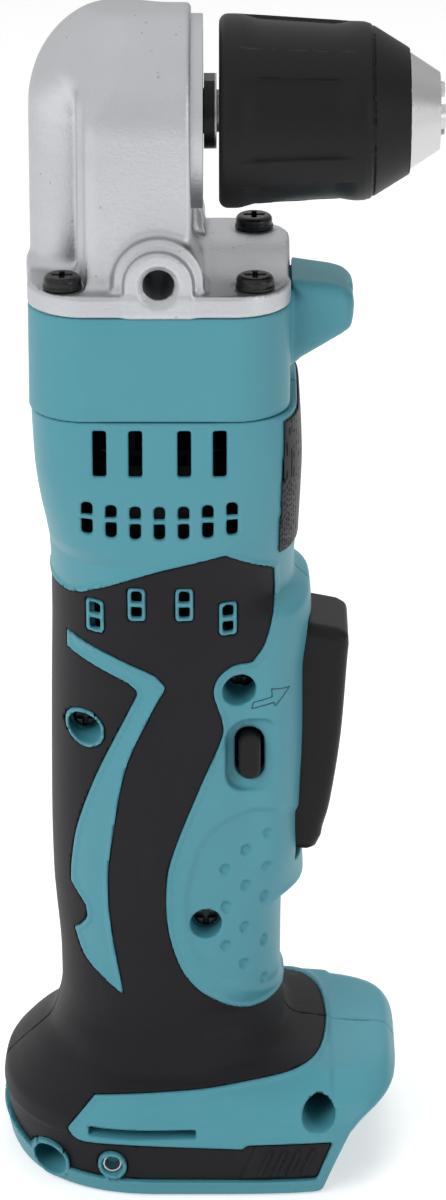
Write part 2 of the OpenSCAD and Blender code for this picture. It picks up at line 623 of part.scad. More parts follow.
module brush_holder() color([0.15, 0.13, 0.12]) difference() {
  union() {
    ring(motor_bush_r, can_r, brush_z, brush_z + 2.2);
    ring(motor_bush_r, motor_bush_r + 2.5, brush_z, brush_z + rear_bush_h);
    ring(can_r - 2, can_r, brush_z, can_z);
    mirrored() box([-brush_w/2 - brush_wall, brush_far - brush_wall, brush_z + 1],
      [brush_w/2 + brush_wall, -comm_r - 2, brush_lo + brush_tall + 1.2]);
  }
  mirrored() box([-brush_w/2 - run_gap, brush_far, brush_lo - run_gap],
    [brush_w/2 + run_gap, -comm_r, brush_lo + brush_tall + run_gap]);
}
module carbon_brushes() color([0.12, 0.12, 0.12]) mirrored()
  box([-brush_w/2, brush_far + 1.5, brush_lo], [brush_w/2, -comm_r - 0.1, brush_lo + brush_tall]);
blades = 13;
blade_t = 1.2;
fan_hub_r = 6;
module cooling_fan() color([0.1, 0.1, 0.11]) difference() {
  translate([0, 0, fan_z]) union() {
    cylinder(r = fan_hub_r, h = fan_h);
    cylinder(r = fan_r, h = 1.4);
    for (k = [0:blades - 1]) rotate(360*k/blades) translate([fan_hub_r - 1, -blade_t/2, 0.5])
      cube([fan_r - fan_hub_r + 0.5, blade_t, fan_h - 0.5]);
  }
  translate([0, 0, fan_z - 1]) cylinder(r = shaft_r, h = fan_h + 2);
}

/* Clamshell housing */
vent_top = [-13.1, -5.2, 5.5, 13.3];
vent_mid = [for (k = [-3:3]) 5.33*k];
vent_low = [-15.2, -5.4, 5.2, 15.2];
vent_top_z = [seam_z - 12.7, seam_z - 1.9];
vent_mid_z = [seam_z - 27.8, seam_z - 20];
vent_low_z = [seam_z - 51, seam_z - 43.4];
vent_arc = 0.12;
module vent(x, half, z) box([x - half, -40, z[0]], [x + half, -20, z[1]]);
module vents() {
  for (x = vent_top) vent(x, 1.5, vent_top_z);
  for (x = vent_mid) vent(x, 1.2, vent_mid_z);
  low_vents(1.2);
}
// The low row follows an arc
module low_vents(half) for (x = vent_low)
  vent(x, half, vent_low_z + [-half, half] - abs(x)*vent_arc*[1, 1]);

// Ribs, bosses, rails and floors of the right half
module half_features() {
  for (z = [can_z + 5, can_z + can_l - 5.5]) difference() {
    inside_plate(z, rib_t);
    translate([0, 0, z - 1]) cylinder(r = can_r, h = rib_t + 2);
  }
  for (p = SCREWS) along_y(p[0], p[1], boss_r, -reach(p[0], p[1], boss_r, boss_r), 0);
  for (p = FLANGE_SCREWS) if (p[1] < 0) translate([p[0], p[1], flange_screw_end - 1])
    cylinder(r = boss_r, h = seam_z - flange_screw_end + 1);
  inside_plate(bay_z, wall);
  inside_plate(0, wall, bay_back);
  box([hood_x, -reach(hood_x + wall/2, bay_z + 4, wall/2, 4), bay_z], [hood_x + wall, 0, hood_z]);
  box([bay_back - wall, -reach(bay_back, bay_z/2, wall, bay_z/2), 0], [bay_back, 0, bay_z + 1]);
  box([bay_back - 1, -rail_out, 0], [rail_x, -bay_wide, bay_z + 1]);
  box([bay_back - 1, -rail_out, 0], [rail_x, -bay_w, rail_h]);
  along_y(pivot_x, pivot_z, pivot_boss_r, -reach(pivot_x, pivot_z, pivot_boss_r, pivot_boss_r),
    -paddle_w - paddle_gap);
  box([switch_x[0] + 2, -reach(switch_x[0] + 7, switch_z[0] + 9, 5, 3), switch_z[0] + 6],
    [switch_x[0] + 12, -switch_w, switch_z[0] + 12]);
  box([board_x - 3, -reach(board_x - 2, board_z + board_h/2, 1, board_h/2 - 2), board_z + 2],
    [board_x - 1, -board_w + 2.5, board_z + board_h - 2]);
  along_y(hook_x, hook_z, hook_r + 2, -reach(hook_x, hook_z, hook_r + 2, hook_r + 2), -bay_wide + 1);
}
slot_x = 18;
rib_t = 3;
rail_x = 36;
hood_x = 44;
hood_z = 24.2;
rail_out = reach(rail_x - 1, bay_z/2, 1, 1);
pivot_boss_r = pivot_r + 2;
bay_back = -20;
switch_w = 10;
board_x = -7;
board_w = 11;
board_h = 20;
board_z = switch_z[0] - 8 - board_h;
hook_x = -11.4;
hook_z = 7.5;
hook_r = 3;
lever_h = 12;
lever_w = 6;
lever_gap = 0.25;

module lever_shape(w, h, y0, y1) {
  along_y(lever_x, lever_z - (h - w)/2, w/2, y0, y1);
  along_y(lever_x, lever_z + (h - w)/2, w/2, y0, y1);
  box([lever_x - w/2, y0, lever_z - (h - w)/2], [lever_x + w/2, y1, lever_z + (h - w)/2]);
}
screw_r = 1.6;
screw_head_r = 3.3;
screw_head_h = 2.4;
// Underside of the front hood, cut back for the battery's release button
button_profile = [[36.6, -1], [37, 0], [43.2, 13.6], [46, 16.4], [53.2, 19.4], [60, 21], [60, -1]];
module half_housing(threaded) difference() {
  union() {
    half_shell();
    half_features();
  }
  vents();
  slab_y(button_profile, base_w + 5);
  box([slot_x, -paddle_w - paddle_gap, paddle_z0 - slot_gap], [50, 1, paddle_z1 + slot_gap]);
  lever_shape(lever_w + 2*lever_gap, lever_h + 2*lever_gap, -40, -12);
  for (p = SCREWS) {
    along_y(p[0], p[1], threaded ? screw_r : screw_r + 0.2, threaded ? -side_y(p[0], p[1]) + 4 : -40, 1);
    if (!threaded) along_y(p[0], p[1], recess_r, -50, -p[2]);
  }
  for (p = FLANGE_SCREWS) if (p[1] < 0) translate([p[0], p[1], flange_screw_end])
    cylinder(r = flange_screw_r, h = seam_z - flange_screw_end + 1);
  along_y(pivot_x, pivot_z, pivot_r, -paddle_w - paddle_gap - 3, 1);
  along_y(hook_x, hook_z, hook_r, -42, -bay_wide - 1);
}
module housing_right() color(TEAL) half_housing(false);
module housing_left() color(TEAL) mirror([0, 1, 0]) half_housing(true);

grip_cols = 16;
// Rubber skin over the back and the side, up to the overmould's front edge
module half_grip() {
  function edge(z) = angle_at(along(STATIONS, z), along(GRIP_EDGE, z)[0]);
  rows = [for (g = GRIP_EDGE) g[0]];
  function row(s, z) = [for (j = [0:grip_cols]) on_section(s, mix(edge(z), 179.9, j/grip_cols), s[3], z)];
  difference() {
    skin([for (z = rows) row(along(STATIONS, z), z)],
      [for (z = rows) let (s = shell(z), g = rubber_gap) row([s[0] + g, s[1] + g, s[2] + g, s[3]], z)]);
    low_vents(1.6);
    for (p = SCREWS) along_y(p[0], p[1], recess_r + 0.8, -45, -10);
    along_y(hook_x, hook_z, hook_r + 0.8, -42, -20);
  }
}
module grip_right() color(CHARCOAL) half_grip();
module grip_left() color(CHARCOAL) mirror([0, 1, 0]) half_grip();

module housing_screws() color(BLACK) for (p = SCREWS) difference() {
  union() {
    along_y(p[0], p[1], screw_head_r, -p[2] - screw_head_h, -p[2]);
    along_y(p[0], p[1], screw_r, -p[2] - 1, min(14, side_y(p[0], p[1]) - 5));
  }
  for (a = [0, 90]) translate([p[0], -p[2] - 1.3, p[1]]) rotate([0, a, 0])
    translate([-1.9, -3, -0.5]) cube([3.8, 3, 1]);
}

// Bare plate on the rounded front of the motor housing
plate_t = 0.7;
plate_gap = 0.2;
plate_rows = [150.5, 154, 163.5, 171, 182];
function plate_row(z, out) = let (s = shell(z)) [for (t = [-48:8:48]) let (p = on_section(
  [s[0] + out, s[1], s[2] + out], abs(t), s[3], z)) [p[0], t < 0 ? -p[1] : p[1], z]];
module name_plate() color([0.3, 0.3, 0.33])
  skin([for (z = plate_rows) plate_row(z, plate_t)], [for (z = plate_rows) plate_row(z, plate_gap)]);

/* Trigger and controls */
// Paddle in the side view: bottom, front edge upwards, top
paddle_profile = [[27.5, paddle_z0 + 0.6], [33.8, paddle_z0], [36, paddle_z0 + 1.8], [36.8, paddle_z0 + 4.4],
  [38.6, 86.2], [40.9, 102.4], [42.3, 121.6], [42.6, paddle_z1 - 4], [41.5, paddle_z1 - 1.7],
  [34, paddle_z1 - 0.2], [27.5, paddle_z1]];
paddle_inside = [[20, paddle_z0 + 3], [33, paddle_z0 + 2.6], [34.2, paddle_z0 + 5], [36.4, 86.8],
  [38.6, 102.8], [40, 121.8], [40.2, paddle_z1 - 4.6], [33.6, paddle_z1 - 2.6], [20, paddle_z1 - 2.4]];
arm_t = 4;
arm_w = 3.5;
module trigger() color(BLACK) difference() {
  union() {
    difference() {
      slab_y(paddle_profile, paddle_w);
      slab_y(paddle_inside, paddle_w - paddle_t);
    }
    // Two arms from the paddle's foot down to the pivot
    mirrored() {
      along_y(pivot_x, pivot_z, arm_w, -paddle_w, -paddle_w + arm_t);
      box([pivot_x - arm_w, -paddle_w, pivot_z], [pivot_x + arm_w, -paddle_w + arm_t, paddle_z0 + 6]);
      box([pivot_x - arm_w, -paddle_w, paddle_z0 + 1.6], [30, -paddle_w + arm_t, paddle_z0 + 6]);
    }
    box([plunger_tip + 0.3, -plunger_r, plunger_z - plunger_r], [37.6, plunger_r, plunger_z + 2]);
  }
  along_y(pivot_x, pivot_z, pivot_r + run_gap, -paddle_w - 1, paddle_w + 1);
}
pin_reach = paddle_w + paddle_gap + 3;
module trigger_pin() color(STEEL) along_y(pivot_x, pivot_z, pivot_r, -pin_reach, pin_reach);
plunger_tip = 27.5;
plunger_r = 3;
plunger_in = 4;
module switch_body() color([0.12, 0.12, 0.13]) difference() {
  box([switch_x[0], -switch_w, switch_z[0]], [switch_x[1], switch_w, switch_z[1]]);
  along_x(switch_x[1] - plunger_in - 3, switch_x[1] + 1, plunger_r + run_gap, plunger_z);
}
module switch_plunger() color([0.5, 0.1, 0.08])
  along_x(switch_x[1] - plunger_in, plunger_tip, plunger_r, plunger_z);
lever_out = 23.5;
lever_bar = [4.4, 5];
finger_l = 6;
module direction_lever() color(BLACK) {
  box([lever_x - lever_bar[0]/2, -lever_out + 4, lever_z - lever_bar[1]/2],
    [lever_x + lever_bar[0]/2, lever_out - 4, lever_z + lever_bar[1]/2]);
  mirrored() lever_shape(lever_w, lever_h, -lever_out, -lever_out + 6.5);
  box([lever_x - finger_l, -1.5, switch_z[1] + 0.3], [lever_x, 1.5, lever_z]);
}
board_t = 1.6;
chip_h = 5;
module control_board() color([0.1, 0.35, 0.2]) {
  box([board_x - 1, -board_w, board_z], [board_x - 1 + board_t, board_w, board_z + board_h]);
  for (z = [board_z + 4, board_z + 11])
    box([board_x - 1 + board_t, -4, z], [board_x + 4, 4, z + chip_h]);
}

/* Base */
block_w = 18;
block_front = bay_back + 11;
blade_y = 11;
blade_z = [7, 12];
terminal_t = 0.8;
module at_terminals() for (s = [-1, 1]) translate([0, s*blade_y - terminal_t/2, 0]) children();
module terminal_block() color([0.55, 0.5, 0.2]) difference() {
  box([bay_back, -block_w, blade_z[0] - 2], [block_front, block_w, bay_z]);
  at_terminals() box([bay_back + 4, 0, blade_z[0]], [block_front + 1, terminal_t, blade_z[1]]);
}
module battery_terminals() color(BRONZE) at_terminals()
  box([bay_back + 4, 0, blade_z[0]], [block_front + 17, terminal_t, blade_z[1]]);
insert_bore_r = 1.65;
module hook_inserts() color(STEEL) mirrored() difference() {
  along_y(hook_x, hook_z, hook_r, -base_w + 1.1, -bay_wide - 1);
  along_y(hook_x, hook_z, insert_bore_r, -base_w - 2, -bay_wide);
}

/* Chuck */
sleeve_x1 = chuck_x + sleeve_l;
sleeve_gap = 0.25;
chuck_screw_r = 2.5;
module jaw_line(k, x, l, r) translate([0, 0, spindle_z]) rotate([120*k + 90, 0, 0])
  translate([x, 0, jaw_axis_r + (jaw_tip_x - x)*tan(jaw_angle)]) rotate([0, 90 + jaw_angle, 0])
  cylinder(r = r, h = l);
module chuck_body() color(STEEL) difference() {
  turned([[chuck_x + 0.9, 0], [chuck_x + 0.9, chuck_r], [nut_x - 0.4, chuck_r], [nut_x - 0.4, 11],
    [nut_x + nut_l + 0.4, 11], [nut_x + nut_l + 0.4, chuck_r], [sleeve_x1, 12.8], [nose_x, 8.5],
    [nose_x, 0]]);
  along_x(chuck_x, chuck_x + nose_l, nose_r, spindle_z);
  along_x(chuck_x + nose_l - 1, chuck_x + nose_l + 6, chuck_screw_r, spindle_z);
  along_x(chuck_x + nose_l + 2.5, nose_x + 1, 5.3, spindle_z);
  for (k = [0:2]) jaw_line(k, jaw_back_x - 6, 45, jaw_r + jaw_gap);
}
module chuck_screw() color(BLACK) difference() {
  union() {
    along_x(chuck_x + 4.2, chuck_x + nose_l + 3, chuck_screw_r, spindle_z);
    along_x(chuck_x + nose_l + 2.5, chuck_x + nose_l + 5.5, 4.6, spindle_z);
  }
  along_x(chuck_x + nose_l + 4, chuck_x + nose_l + 7, 1.6, spindle_z);
}
module chuck_sleeve() color(BLACK) difference() {
  turned([[chuck_x, collar_hole_r], [chuck_x, sleeve_r - 0.6], [chuck_x + 0.6, sleeve_r],
    [chuck_x + 5, sleeve_r],
    [chuck_x + 31.9, sleeve_r - 1.75], [sleeve_x1, 13.6], [sleeve_x1, chuck_r + sleeve_gap],
    [nut_x + nut_l, chuck_r + sleeve_gap], [nut_x + nut_l, nut_r], [nut_x, nut_r], [nut_x, nut_r + 0.5],
    [nut_x - 8, nut_r + 0.5], [nut_x - 8, chuck_r + sleeve_gap], [chuck_x + 0.5, chuck_r + sleeve_gap],
    [chuck_x + 0.5, collar_hole_r]]);
  for (k = [0:flutes - 1]) translate([0, 0, spindle_z]) rotate([360*k/flutes + flute_turn, 0, 0])
    box([chuck_x + 5.4, -flute_w, sleeve_r - flute_depth], [chuck_x + 28.2, flute_w, sleeve_r + 2]);
}
flutes = 5;
flute_turn = 7.1;
flute_w = 7.6;
flute_depth = 1.9;
collar_hole_r = 9.2;
nut_r = 15.9;
function jaw_edge(x) = jaw_axis_r + (jaw_tip_x - x)*tan(jaw_angle) + jaw_r/cos(jaw_angle) + 0.2;
module jaw_nut() color(STEEL) turned([[nut_x, jaw_edge(nut_x)], [nut_x, nut_r],
  [nut_x + nut_l, nut_r], [nut_x + nut_l, jaw_edge(nut_x + nut_l)]]);
jaw_apex_r = 2.75;
module jaw(k) color(STEEL) difference() {
  intersection() {
    jaw_line(k, jaw_back_x, 40, jaw_r);
    translate([0, 0, spindle_z]) rotate([120*k + 90, 0, 0]) translate([jaw_back_x - 20, 0, jaw_apex_r])
      rotate([90, 0, 90]) linear_extrude(jaw_tip_x - jaw_back_x + 20)
      polygon([[0, 0], [34.6, 20], [-34.6, 20]]);
  }
  along_x(jaw_back_x - 30, jaw_tip_x + 1, grip_r, spindle_z);
}
module jaw_a() jaw(0);
module jaw_b() jaw(1);
module jaw_c() jaw(2);

gear_housing();
bearing_retainer();
spindle_seal();
spindle_bearing_outer();
spindle_bearing_inner();
spindle_rear_bush();
spindle();
bevel_wheel();
bevel_pinion();
pinion_bearing_outer();
pinion_bearing_inner();
planet_carrier();
planet_pins();
planet_a();
planet_b();
planet_c();
ring_gear();
sun_gear();
gear_cover();
flange_screws();
led_lens();
led_board();
motor_shaft();
motor_front_bearing();
motor_rear_bush();
motor_can();
motor_magnets();
armature_core();
armature_windings();
commutator();
brush_holder();
carbon_brushes();
cooling_fan();
housing_right();
housing_left();
grip_right();
grip_left();
housing_screws();
name_plate();
trigger();
trigger_pin();
switch_body();
switch_plunger();
direction_lever();
control_board();
terminal_block();
battery_terminals();
hook_inserts();
chuck_body();
chuck_screw();
chuck_sleeve();
jaw_nut();
jaw_a();
jaw_b();
jaw_c();
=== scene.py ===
"""Looks of the right angle drill: cast gear head, moulded housing with rubber grip, trigger, keyless chuck.

Shapes are written as distance fields in millimetres, in the part's own frame, and meshed on a fine lattice.
+X points to the chuck, +Z up the handle, and the right side that the camera sees is -Y.
"""
import math

import bpy
import numpy as np
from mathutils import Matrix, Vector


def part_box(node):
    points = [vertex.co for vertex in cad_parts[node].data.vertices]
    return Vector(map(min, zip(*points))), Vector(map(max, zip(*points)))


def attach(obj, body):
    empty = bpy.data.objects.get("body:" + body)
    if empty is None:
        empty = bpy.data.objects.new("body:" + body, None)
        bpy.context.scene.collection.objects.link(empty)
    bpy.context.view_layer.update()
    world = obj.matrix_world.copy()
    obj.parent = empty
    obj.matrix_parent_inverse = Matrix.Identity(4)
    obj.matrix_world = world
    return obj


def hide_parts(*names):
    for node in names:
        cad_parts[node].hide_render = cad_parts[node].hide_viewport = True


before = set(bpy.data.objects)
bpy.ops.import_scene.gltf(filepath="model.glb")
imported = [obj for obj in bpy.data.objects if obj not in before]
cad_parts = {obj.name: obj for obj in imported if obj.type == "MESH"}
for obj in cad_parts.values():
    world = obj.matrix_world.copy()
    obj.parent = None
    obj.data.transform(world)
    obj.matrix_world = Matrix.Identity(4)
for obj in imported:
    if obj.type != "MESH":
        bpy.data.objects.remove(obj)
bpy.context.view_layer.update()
MM = 0.001

# Heights and places shared with the frame
SEAM_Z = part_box("housing_right")[1][2]/MM
COVER_H = 24
FLANGE_Z = SEAM_Z + COVER_H
HEAD_Z = FLANGE_Z + 5
HEAD_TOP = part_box("gear_housing")[1][2]/MM
ARCH_R = 23.7
SPINDLE_Z = HEAD_TOP - ARCH_R
CHUCK_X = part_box("chuck_sleeve")[0][0]/MM
SLEEVE_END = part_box("chuck_sleeve")[1][0]/MM
COLLAR_X = (9.3, CHUCK_X - 0.9)
FLANGE = (28.9, 28.5)
FLANGE_R = 13
SCREW_AT = [(21, 21.4), (-21, 21.4), (21, -21.4), (-21, -21.4)]

# Lattice steps
COARSER = 1.0
SHELL_STEP = 0.66*COARSER
RUBBER_STEP = 0.6*COARSER
FORM_STEP = 0.7*COARSER
TRIM_STEP = 0.5*COARSER
SCREW_STEP = 0.32*COARSER
LINE_STEP = 0.2*COARSER
MARGIN = 1.3


# Fields: each takes x, y, z in millimetres and gives the distance to a surface, negative inside
FAR = 1e3


def join(a, b, k=0.0):
    """Union, with a fillet of about k."""
    if np.ndim(k) == 0 and k == 0:
        return np.minimum(a, b)
    h = np.maximum(k - np.abs(a - b), 0)/k
    return np.minimum(a, b) - h*h*k/4


def both(a, b, k=0.0):
    return -join(-a, -b, k)


def cut(a, b, k=0.0):
    """What is left of a without b, its new edge eased by about k."""
    return -join(-a, b, k)


def round_both(a, b, r):
    """Intersection whose edge is an arc of radius r."""
    u, v = np.maximum(a + r, 0), np.maximum(b + r, 0)
    return np.minimum(np.maximum(a, b), -r) + np.sqrt(u*u + v*v)


def slab(t, lo, hi):
    return np.abs(t - (lo + hi)/2) - (hi - lo)/2


def disc(u, v, r):
    return np.hypot(u, v) - r


def rounded(u, v, half_u, half_v, r):
    """Rectangle with rounded corners in two coordinates."""
    a, b = np.abs(u) - half_u + r, np.abs(v) - half_v + r
    return np.hypot(np.maximum(a, 0), np.maximum(b, 0)) + np.minimum(np.maximum(a, b), 0) - r


def block(x, y, z, lo, hi, r):
    """Box between two corners with edges of radius r."""
    q = [np.abs(t - (a + b)/2) - (b - a)/2 + r for t, a, b in zip((x, y, z), lo, hi)]
    out = np.sqrt(sum(np.maximum(t, 0)**2 for t in q))
    return out + np.minimum(np.maximum(np.maximum(q[0], q[1]), q[2]), 0) - r


def ease(t):
    """0 below 0, 1 above 1, smooth between."""
    t = np.clip(t, 0, 1)
    return t*t*(3 - 2*t)


def bump(t):
    """A soft hump, 1 at 0 and 0 from 1 on."""
    return np.maximum(1 - t*t, 0)**2


def spline(points, steps=10):
    """Smooth run through given points."""
    p = np.array(points, float)
    p = np.vstack([2*p[0] - p[1], p, 2*p[-1] - p[-2]])
    t = np.linspace(0, 1, steps, endpoint=False)[:, None]
    runs = []
    for a, b, c, d in zip(p, p[1:], p[2:], p[3:]):
        runs.append(b + (c - a)/2*t + (a - 2.5*b + 2*c - d/2)*t**2 + (1.5*b - 1.5*c + (d - a)/2)*t**3)
    return np.vstack(runs + [p[-2:-1]])


class Outline:
    """Signed distance to the edge of a drawn area, kept on a raster of the side view's x and z."""

    STEP = 0.3
    LO = np.array([-48.0, -6.0])
    HI = np.array([62.0, 218.0])

    def __init__(self, runs):
        """Takes runs of points that close up: a run of two is straight, a longer one a smooth curve."""
        starts = np.vstack([spline(run) if len(run) > 2 else np.array(run, float) for run in runs])
        ends = np.roll(starts, -1, axis=0)
        n = np.ceil((self.HI - self.LO)/self.STEP).astype(int) + 1
        gx = self.LO[0] + self.STEP*np.arange(n[0])[:, None]
        gz = self.LO[1] + self.STEP*np.arange(n[1])[None, :]
        near = np.full(n, 1e9)
        inside = np.zeros(n, bool)
        for (ax, az), (bx, bz) in zip(starts, ends):
            dx, dz = bx - ax, bz - az
            length = dx*dx + dz*dz
            if length < 1e-9:
                continue
            t = np.clip(((gx - ax)*dx + (gz - az)*dz)/length, 0, 1)
            near = np.minimum(near, (gx - ax - t*dx)**2 + (gz - az - t*dz)**2)
            if az != bz:
                inside ^= ((az > gz) != (bz > gz)) & (gx < (gz - az)*dx/dz + ax)
        self.grid = np.where(inside, -1, 1)*np.sqrt(near)

    def __call__(self, x, z):
        fx = np.clip((x - self.LO[0])/self.STEP, 0, self.grid.shape[0] - 1.001)
        fz = np.clip((z - self.LO[1])/self.STEP, 0, self.grid.shape[1] - 1.001)
        i, k = fx.astype(int), fz.astype(int)
        u, v = fx - i, fz - k
        g = self.grid
        low = g[i, k]*(1 - u) + g[i + 1, k]*u
        high = g[i, k + 1]*(1 - u) + g[i + 1, k + 1]*u
        return low*(1 - v) + high*v


# Meshing of a field on a lattice
BLOCK = 8
PROBES = np.indices((3, 3, 3)).reshape(3, -1).T/2
AXES = np.eye(3, dtype=int)
CORNERS = [(a, b, c) for a in (0, 1) for b in (0, 1) for c in (0, 1)]
CELL_EDGES = [(i, j) for i, a in enumerate(CORNERS) for j, b in enumerate(CORNERS)
              if j > i and sum(abs(p - q) for p, q in zip(a, b)) == 1]
SETTLE_ROUNDS = 3
SETTLE_MOST = 0.4
NUDGE = 0.2


def settle(field, points, step):
    """Moves points onto the surface where field is 0, and gives its normals there."""
    nudge = NUDGE*step

    def slope(p):
        return np.stack([field(*(p + nudge*e).T) - field(*(p - nudge*e).T) for e in AXES], axis=1)/(2*nudge)

    for _ in range(SETTLE_ROUNDS):
        g = slope(points)
        move = -field(*points.T)/np.maximum((g*g).sum(axis=1), 0.05)
        shift = move[:, None]*g
        length = np.linalg.norm(shift, axis=1)
        shift *= np.minimum(1, SETTLE_MOST*step/np.maximum(length, 1e-9))[:, None]
        points = points + shift
    g = slope(points)
    return points, g/np.maximum(np.linalg.norm(g, axis=1), 1e-9)[:, None]


def part(array, c):
    """The nodes at one corner of every cell of every block."""
    return array[:, c[0]:BLOCK + c[0], c[1]:BLOCK + c[1], c[2]:BLOCK + c[2]]


def near_blocks(field, lo, count, step):
    """Blocks of the lattice that the surface may cross, and the field at their nodes."""
    blocks = np.indices(count).reshape(3, -1).T
    probes = lo + (blocks[:, None, :] + PROBES[None])*BLOCK*step
    nearest = np.abs(field(*probes.reshape(-1, 3).T)).reshape(len(blocks), -1).min(axis=1)
    blocks = blocks[nearest < BLOCK*step]
    node = np.indices((BLOCK + 1,)*3).reshape(3, -1).T
    at = lo + step*(blocks[:, None, :]*BLOCK + node[None])
    return blocks, field(*at.reshape(-1, 3).T).reshape(-1, BLOCK + 1, BLOCK + 1, BLOCK + 1)


def cell_points(blocks, value):
    """Cells that the surface crosses, and in each the middle of its crossings, in lattice steps."""
    inside = value < 0
    total = sum(part(inside, c).astype(np.int8) for c in CORNERS)
    cell = np.argwhere((total > 0) & (total < 8))
    place = blocks[cell[:, 0]]*BLOCK + cell[:, 1:]
    v = [part(value, c)[tuple(cell.T)] for c in CORNERS]
    summed, hits = np.zeros((len(cell), 3)), np.zeros(len(cell))
    for i, j in CELL_EDGES:
        a, b = np.array(CORNERS[i]), np.array(CORNERS[j])
        crosses = (v[i] < 0) != (v[j] < 0)
        t = v[i]/np.where(crosses, v[i] - v[j], 1)
        summed += np.where(crosses[:, None], a + t[:, None]*(b - a), 0)
        hits += crosses
    return place, place + summed/hits[:, None]


def cell_quads(blocks, inside, place, size):
    """Quads that join the points of the four cells round each lattice edge that the surface crosses."""
    def key(c):
        return (c[:, 0]*size[1] + c[:, 1])*size[2] + c[:, 2]

    keys = key(place)
    order = np.argsort(keys)
    ordered = keys[order]

    def vertex(c):
        k = key(c)
        found = np.minimum(np.searchsorted(ordered, k), len(ordered) - 1)
        return np.where(ordered[found] == k, order[found], -1)

    quads = []
    start = inside[:, :BLOCK, :BLOCK, :BLOCK]
    for axis in range(3):
        end = part(inside, AXES[axis])
        e1, e2 = AXES[(axis + 1) % 3], AXES[(axis + 2) % 3]
        for going_out in (True, False):
            edge = np.argwhere((start & ~end) if going_out else (~start & end))
            g = blocks[edge[:, 0]]*BLOCK + edge[:, 1:]
            ring = [vertex(c) for c in (g - e1 - e2, g - e2, g, g - e1)]
            quads.append(np.stack(ring if going_out else ring[::-1], axis=1))
    quads = np.vstack(quads)
    return quads[(quads >= 0).all(axis=1)]


def lattice_mesh(field, lo, hi, step):
    """Points, quads and normals of the surface where field is 0: one point in each cell that it crosses."""
    lo = np.asarray(lo, float)
    count = np.ceil((np.asarray(hi) - lo)/(step*BLOCK)).astype(int)
    blocks, value = near_blocks(field, lo, count, step)
    place, middle = cell_points(blocks, value)
    quads = cell_quads(blocks, value < 0, place, count*BLOCK + 2)
    points, normals = settle(field, lo + step*middle, step)
    return points, quads, normals


def make_object(name, points, quads, normals):
    mesh = bpy.data.meshes.new(name)
    mesh.vertices.add(len(points))
    mesh.vertices.foreach_set("co", (points*MM).astype(np.float32).ravel())
    mesh.loops.add(quads.size)
    mesh.loops.foreach_set("vertex_index", quads.astype(np.int32).ravel())
    mesh.polygons.add(len(quads))
    mesh.polygons.foreach_set("loop_start", np.arange(0, quads.size, quads.shape[1], dtype=np.int32))
    mesh.update(calc_edges=True)
    mesh.validate()
    mesh.shade_smooth()
    mesh.normals_split_custom_set_from_vertices(normals.tolist())
    piece = bpy.data.objects.new(name, mesh)
    bpy.context.scene.collection.objects.link(piece)
    return piece


def shape(name, field, lo, hi, step, body, slot, material, *nodes):
    """A meshed field as a piece of the object, which rides on a body and stands for CAD nodes."""
    points, quads, normals = lattice_mesh(field, np.array(lo) - MARGIN, np.array(hi) + MARGIN, step)
    piece = make_object(name, points, quads, normals)
    piece.data.materials.append(material)
    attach(piece, body)
    if nodes:
        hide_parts(*nodes)
    return piece


# Materials: a socket that takes part in Python expressions, and a paint that makes nodes
class Wire:
    """A shader value. Arithmetic on it adds Math nodes."""

    def __init__(self, tree, socket):
        self.tree, self.socket = tree, socket

    def math(self, operation, a, b):
        node = self.tree.nodes.new("ShaderNodeMath")
        node.operation = operation
        for entry, value in zip(node.inputs, (a, b)):
            if isinstance(value, Wire):
                self.tree.links.new(value.socket, entry)
            else:
                entry.default_value = value
        return Wire(self.tree, node.outputs[0])

    def __add__(self, other):
        return self.math("ADD", self, other)

    def __sub__(self, other):
        return self.math("SUBTRACT", self, other)

    def __rsub__(self, other):
        return self.math("SUBTRACT", other, self)

    def __mul__(self, other):
        return self.math("MULTIPLY", self, other)

    def __gt__(self, other):
        return self.math("GREATER_THAN", self, other)

    def __lt__(self, other):
        return self.math("LESS_THAN", self, other)

    __radd__ = __add__
    __rmul__ = __mul__


class Paint:
    """The nodes of one material, or of the world."""

    def __init__(self, owner):
        owner.use_nodes = True
        self.owner, self.tree = owner, owner.node_tree
        self.tree.nodes.clear()

    def node(self, kind, settings=None, sockets=None, out=0):
        """A new node's output: its settings are made first, then values or links go to its sockets."""
        node = self.tree.nodes.new("ShaderNode" + kind)
        for name, value in (settings or {}).items():
            setattr(node, name, value)
        for name, value in (sockets or {}).items():
            if isinstance(value, Wire):
                self.tree.links.new(value.socket, node.inputs[name])
            else:
                node.inputs[name].default_value = value
        return Wire(self.tree, node.outputs[out]) if node.outputs else None

    def where(self, stretch=None):
        """Place on the object in metres, scaled along its axes."""
        place = self.node("TexCoord", out="Object")
        if stretch is None:
            return place
        return self.node("Mapping", sockets={"Vector": place, "Scale": stretch})

    def noise(self, scale, detail=3.0, stretch=None):
        place = self.where(stretch)
        return self.node("TexNoise", sockets={"Vector": place, "Scale": scale, "Detail": detail})

    def blend(self, mask, a, b):
        """Colour a where mask is 0 and b where it is 1."""
        return self.node("Mix", {"data_type": "RGBA"}, {0: mask, 6: a, 7: b}, out=2)

    def relief(self, height, depth):
        return self.node("Bump", sockets={"Height": height, "Distance": depth})

    def ray(self, kind):
        return self.node("LightPath", out=f"Is {kind} Ray")

    def seen(self):
        """1 for a ray from the camera, a mirror or a lens."""
        rays = self.ray("Camera") + self.ray("Glossy") + self.ray("Transmission")
        return self.node("Clamp", sockets={0: rays})

    def surface(self, **sockets):
        """Ends the material in a Principled shader: Base_Color stands for its socket Base Color."""
        shader = self.node("BsdfPrincipled", sockets={k.replace("_", " "): v for k, v in sockets.items()})
        self.node("OutputMaterial", sockets={"Surface": shader})
        return self.owner


def paint(name):
    return Paint(bpy.data.materials.new(name))


def rgb(r, g, b):
    return (r, g, b, 1.0)


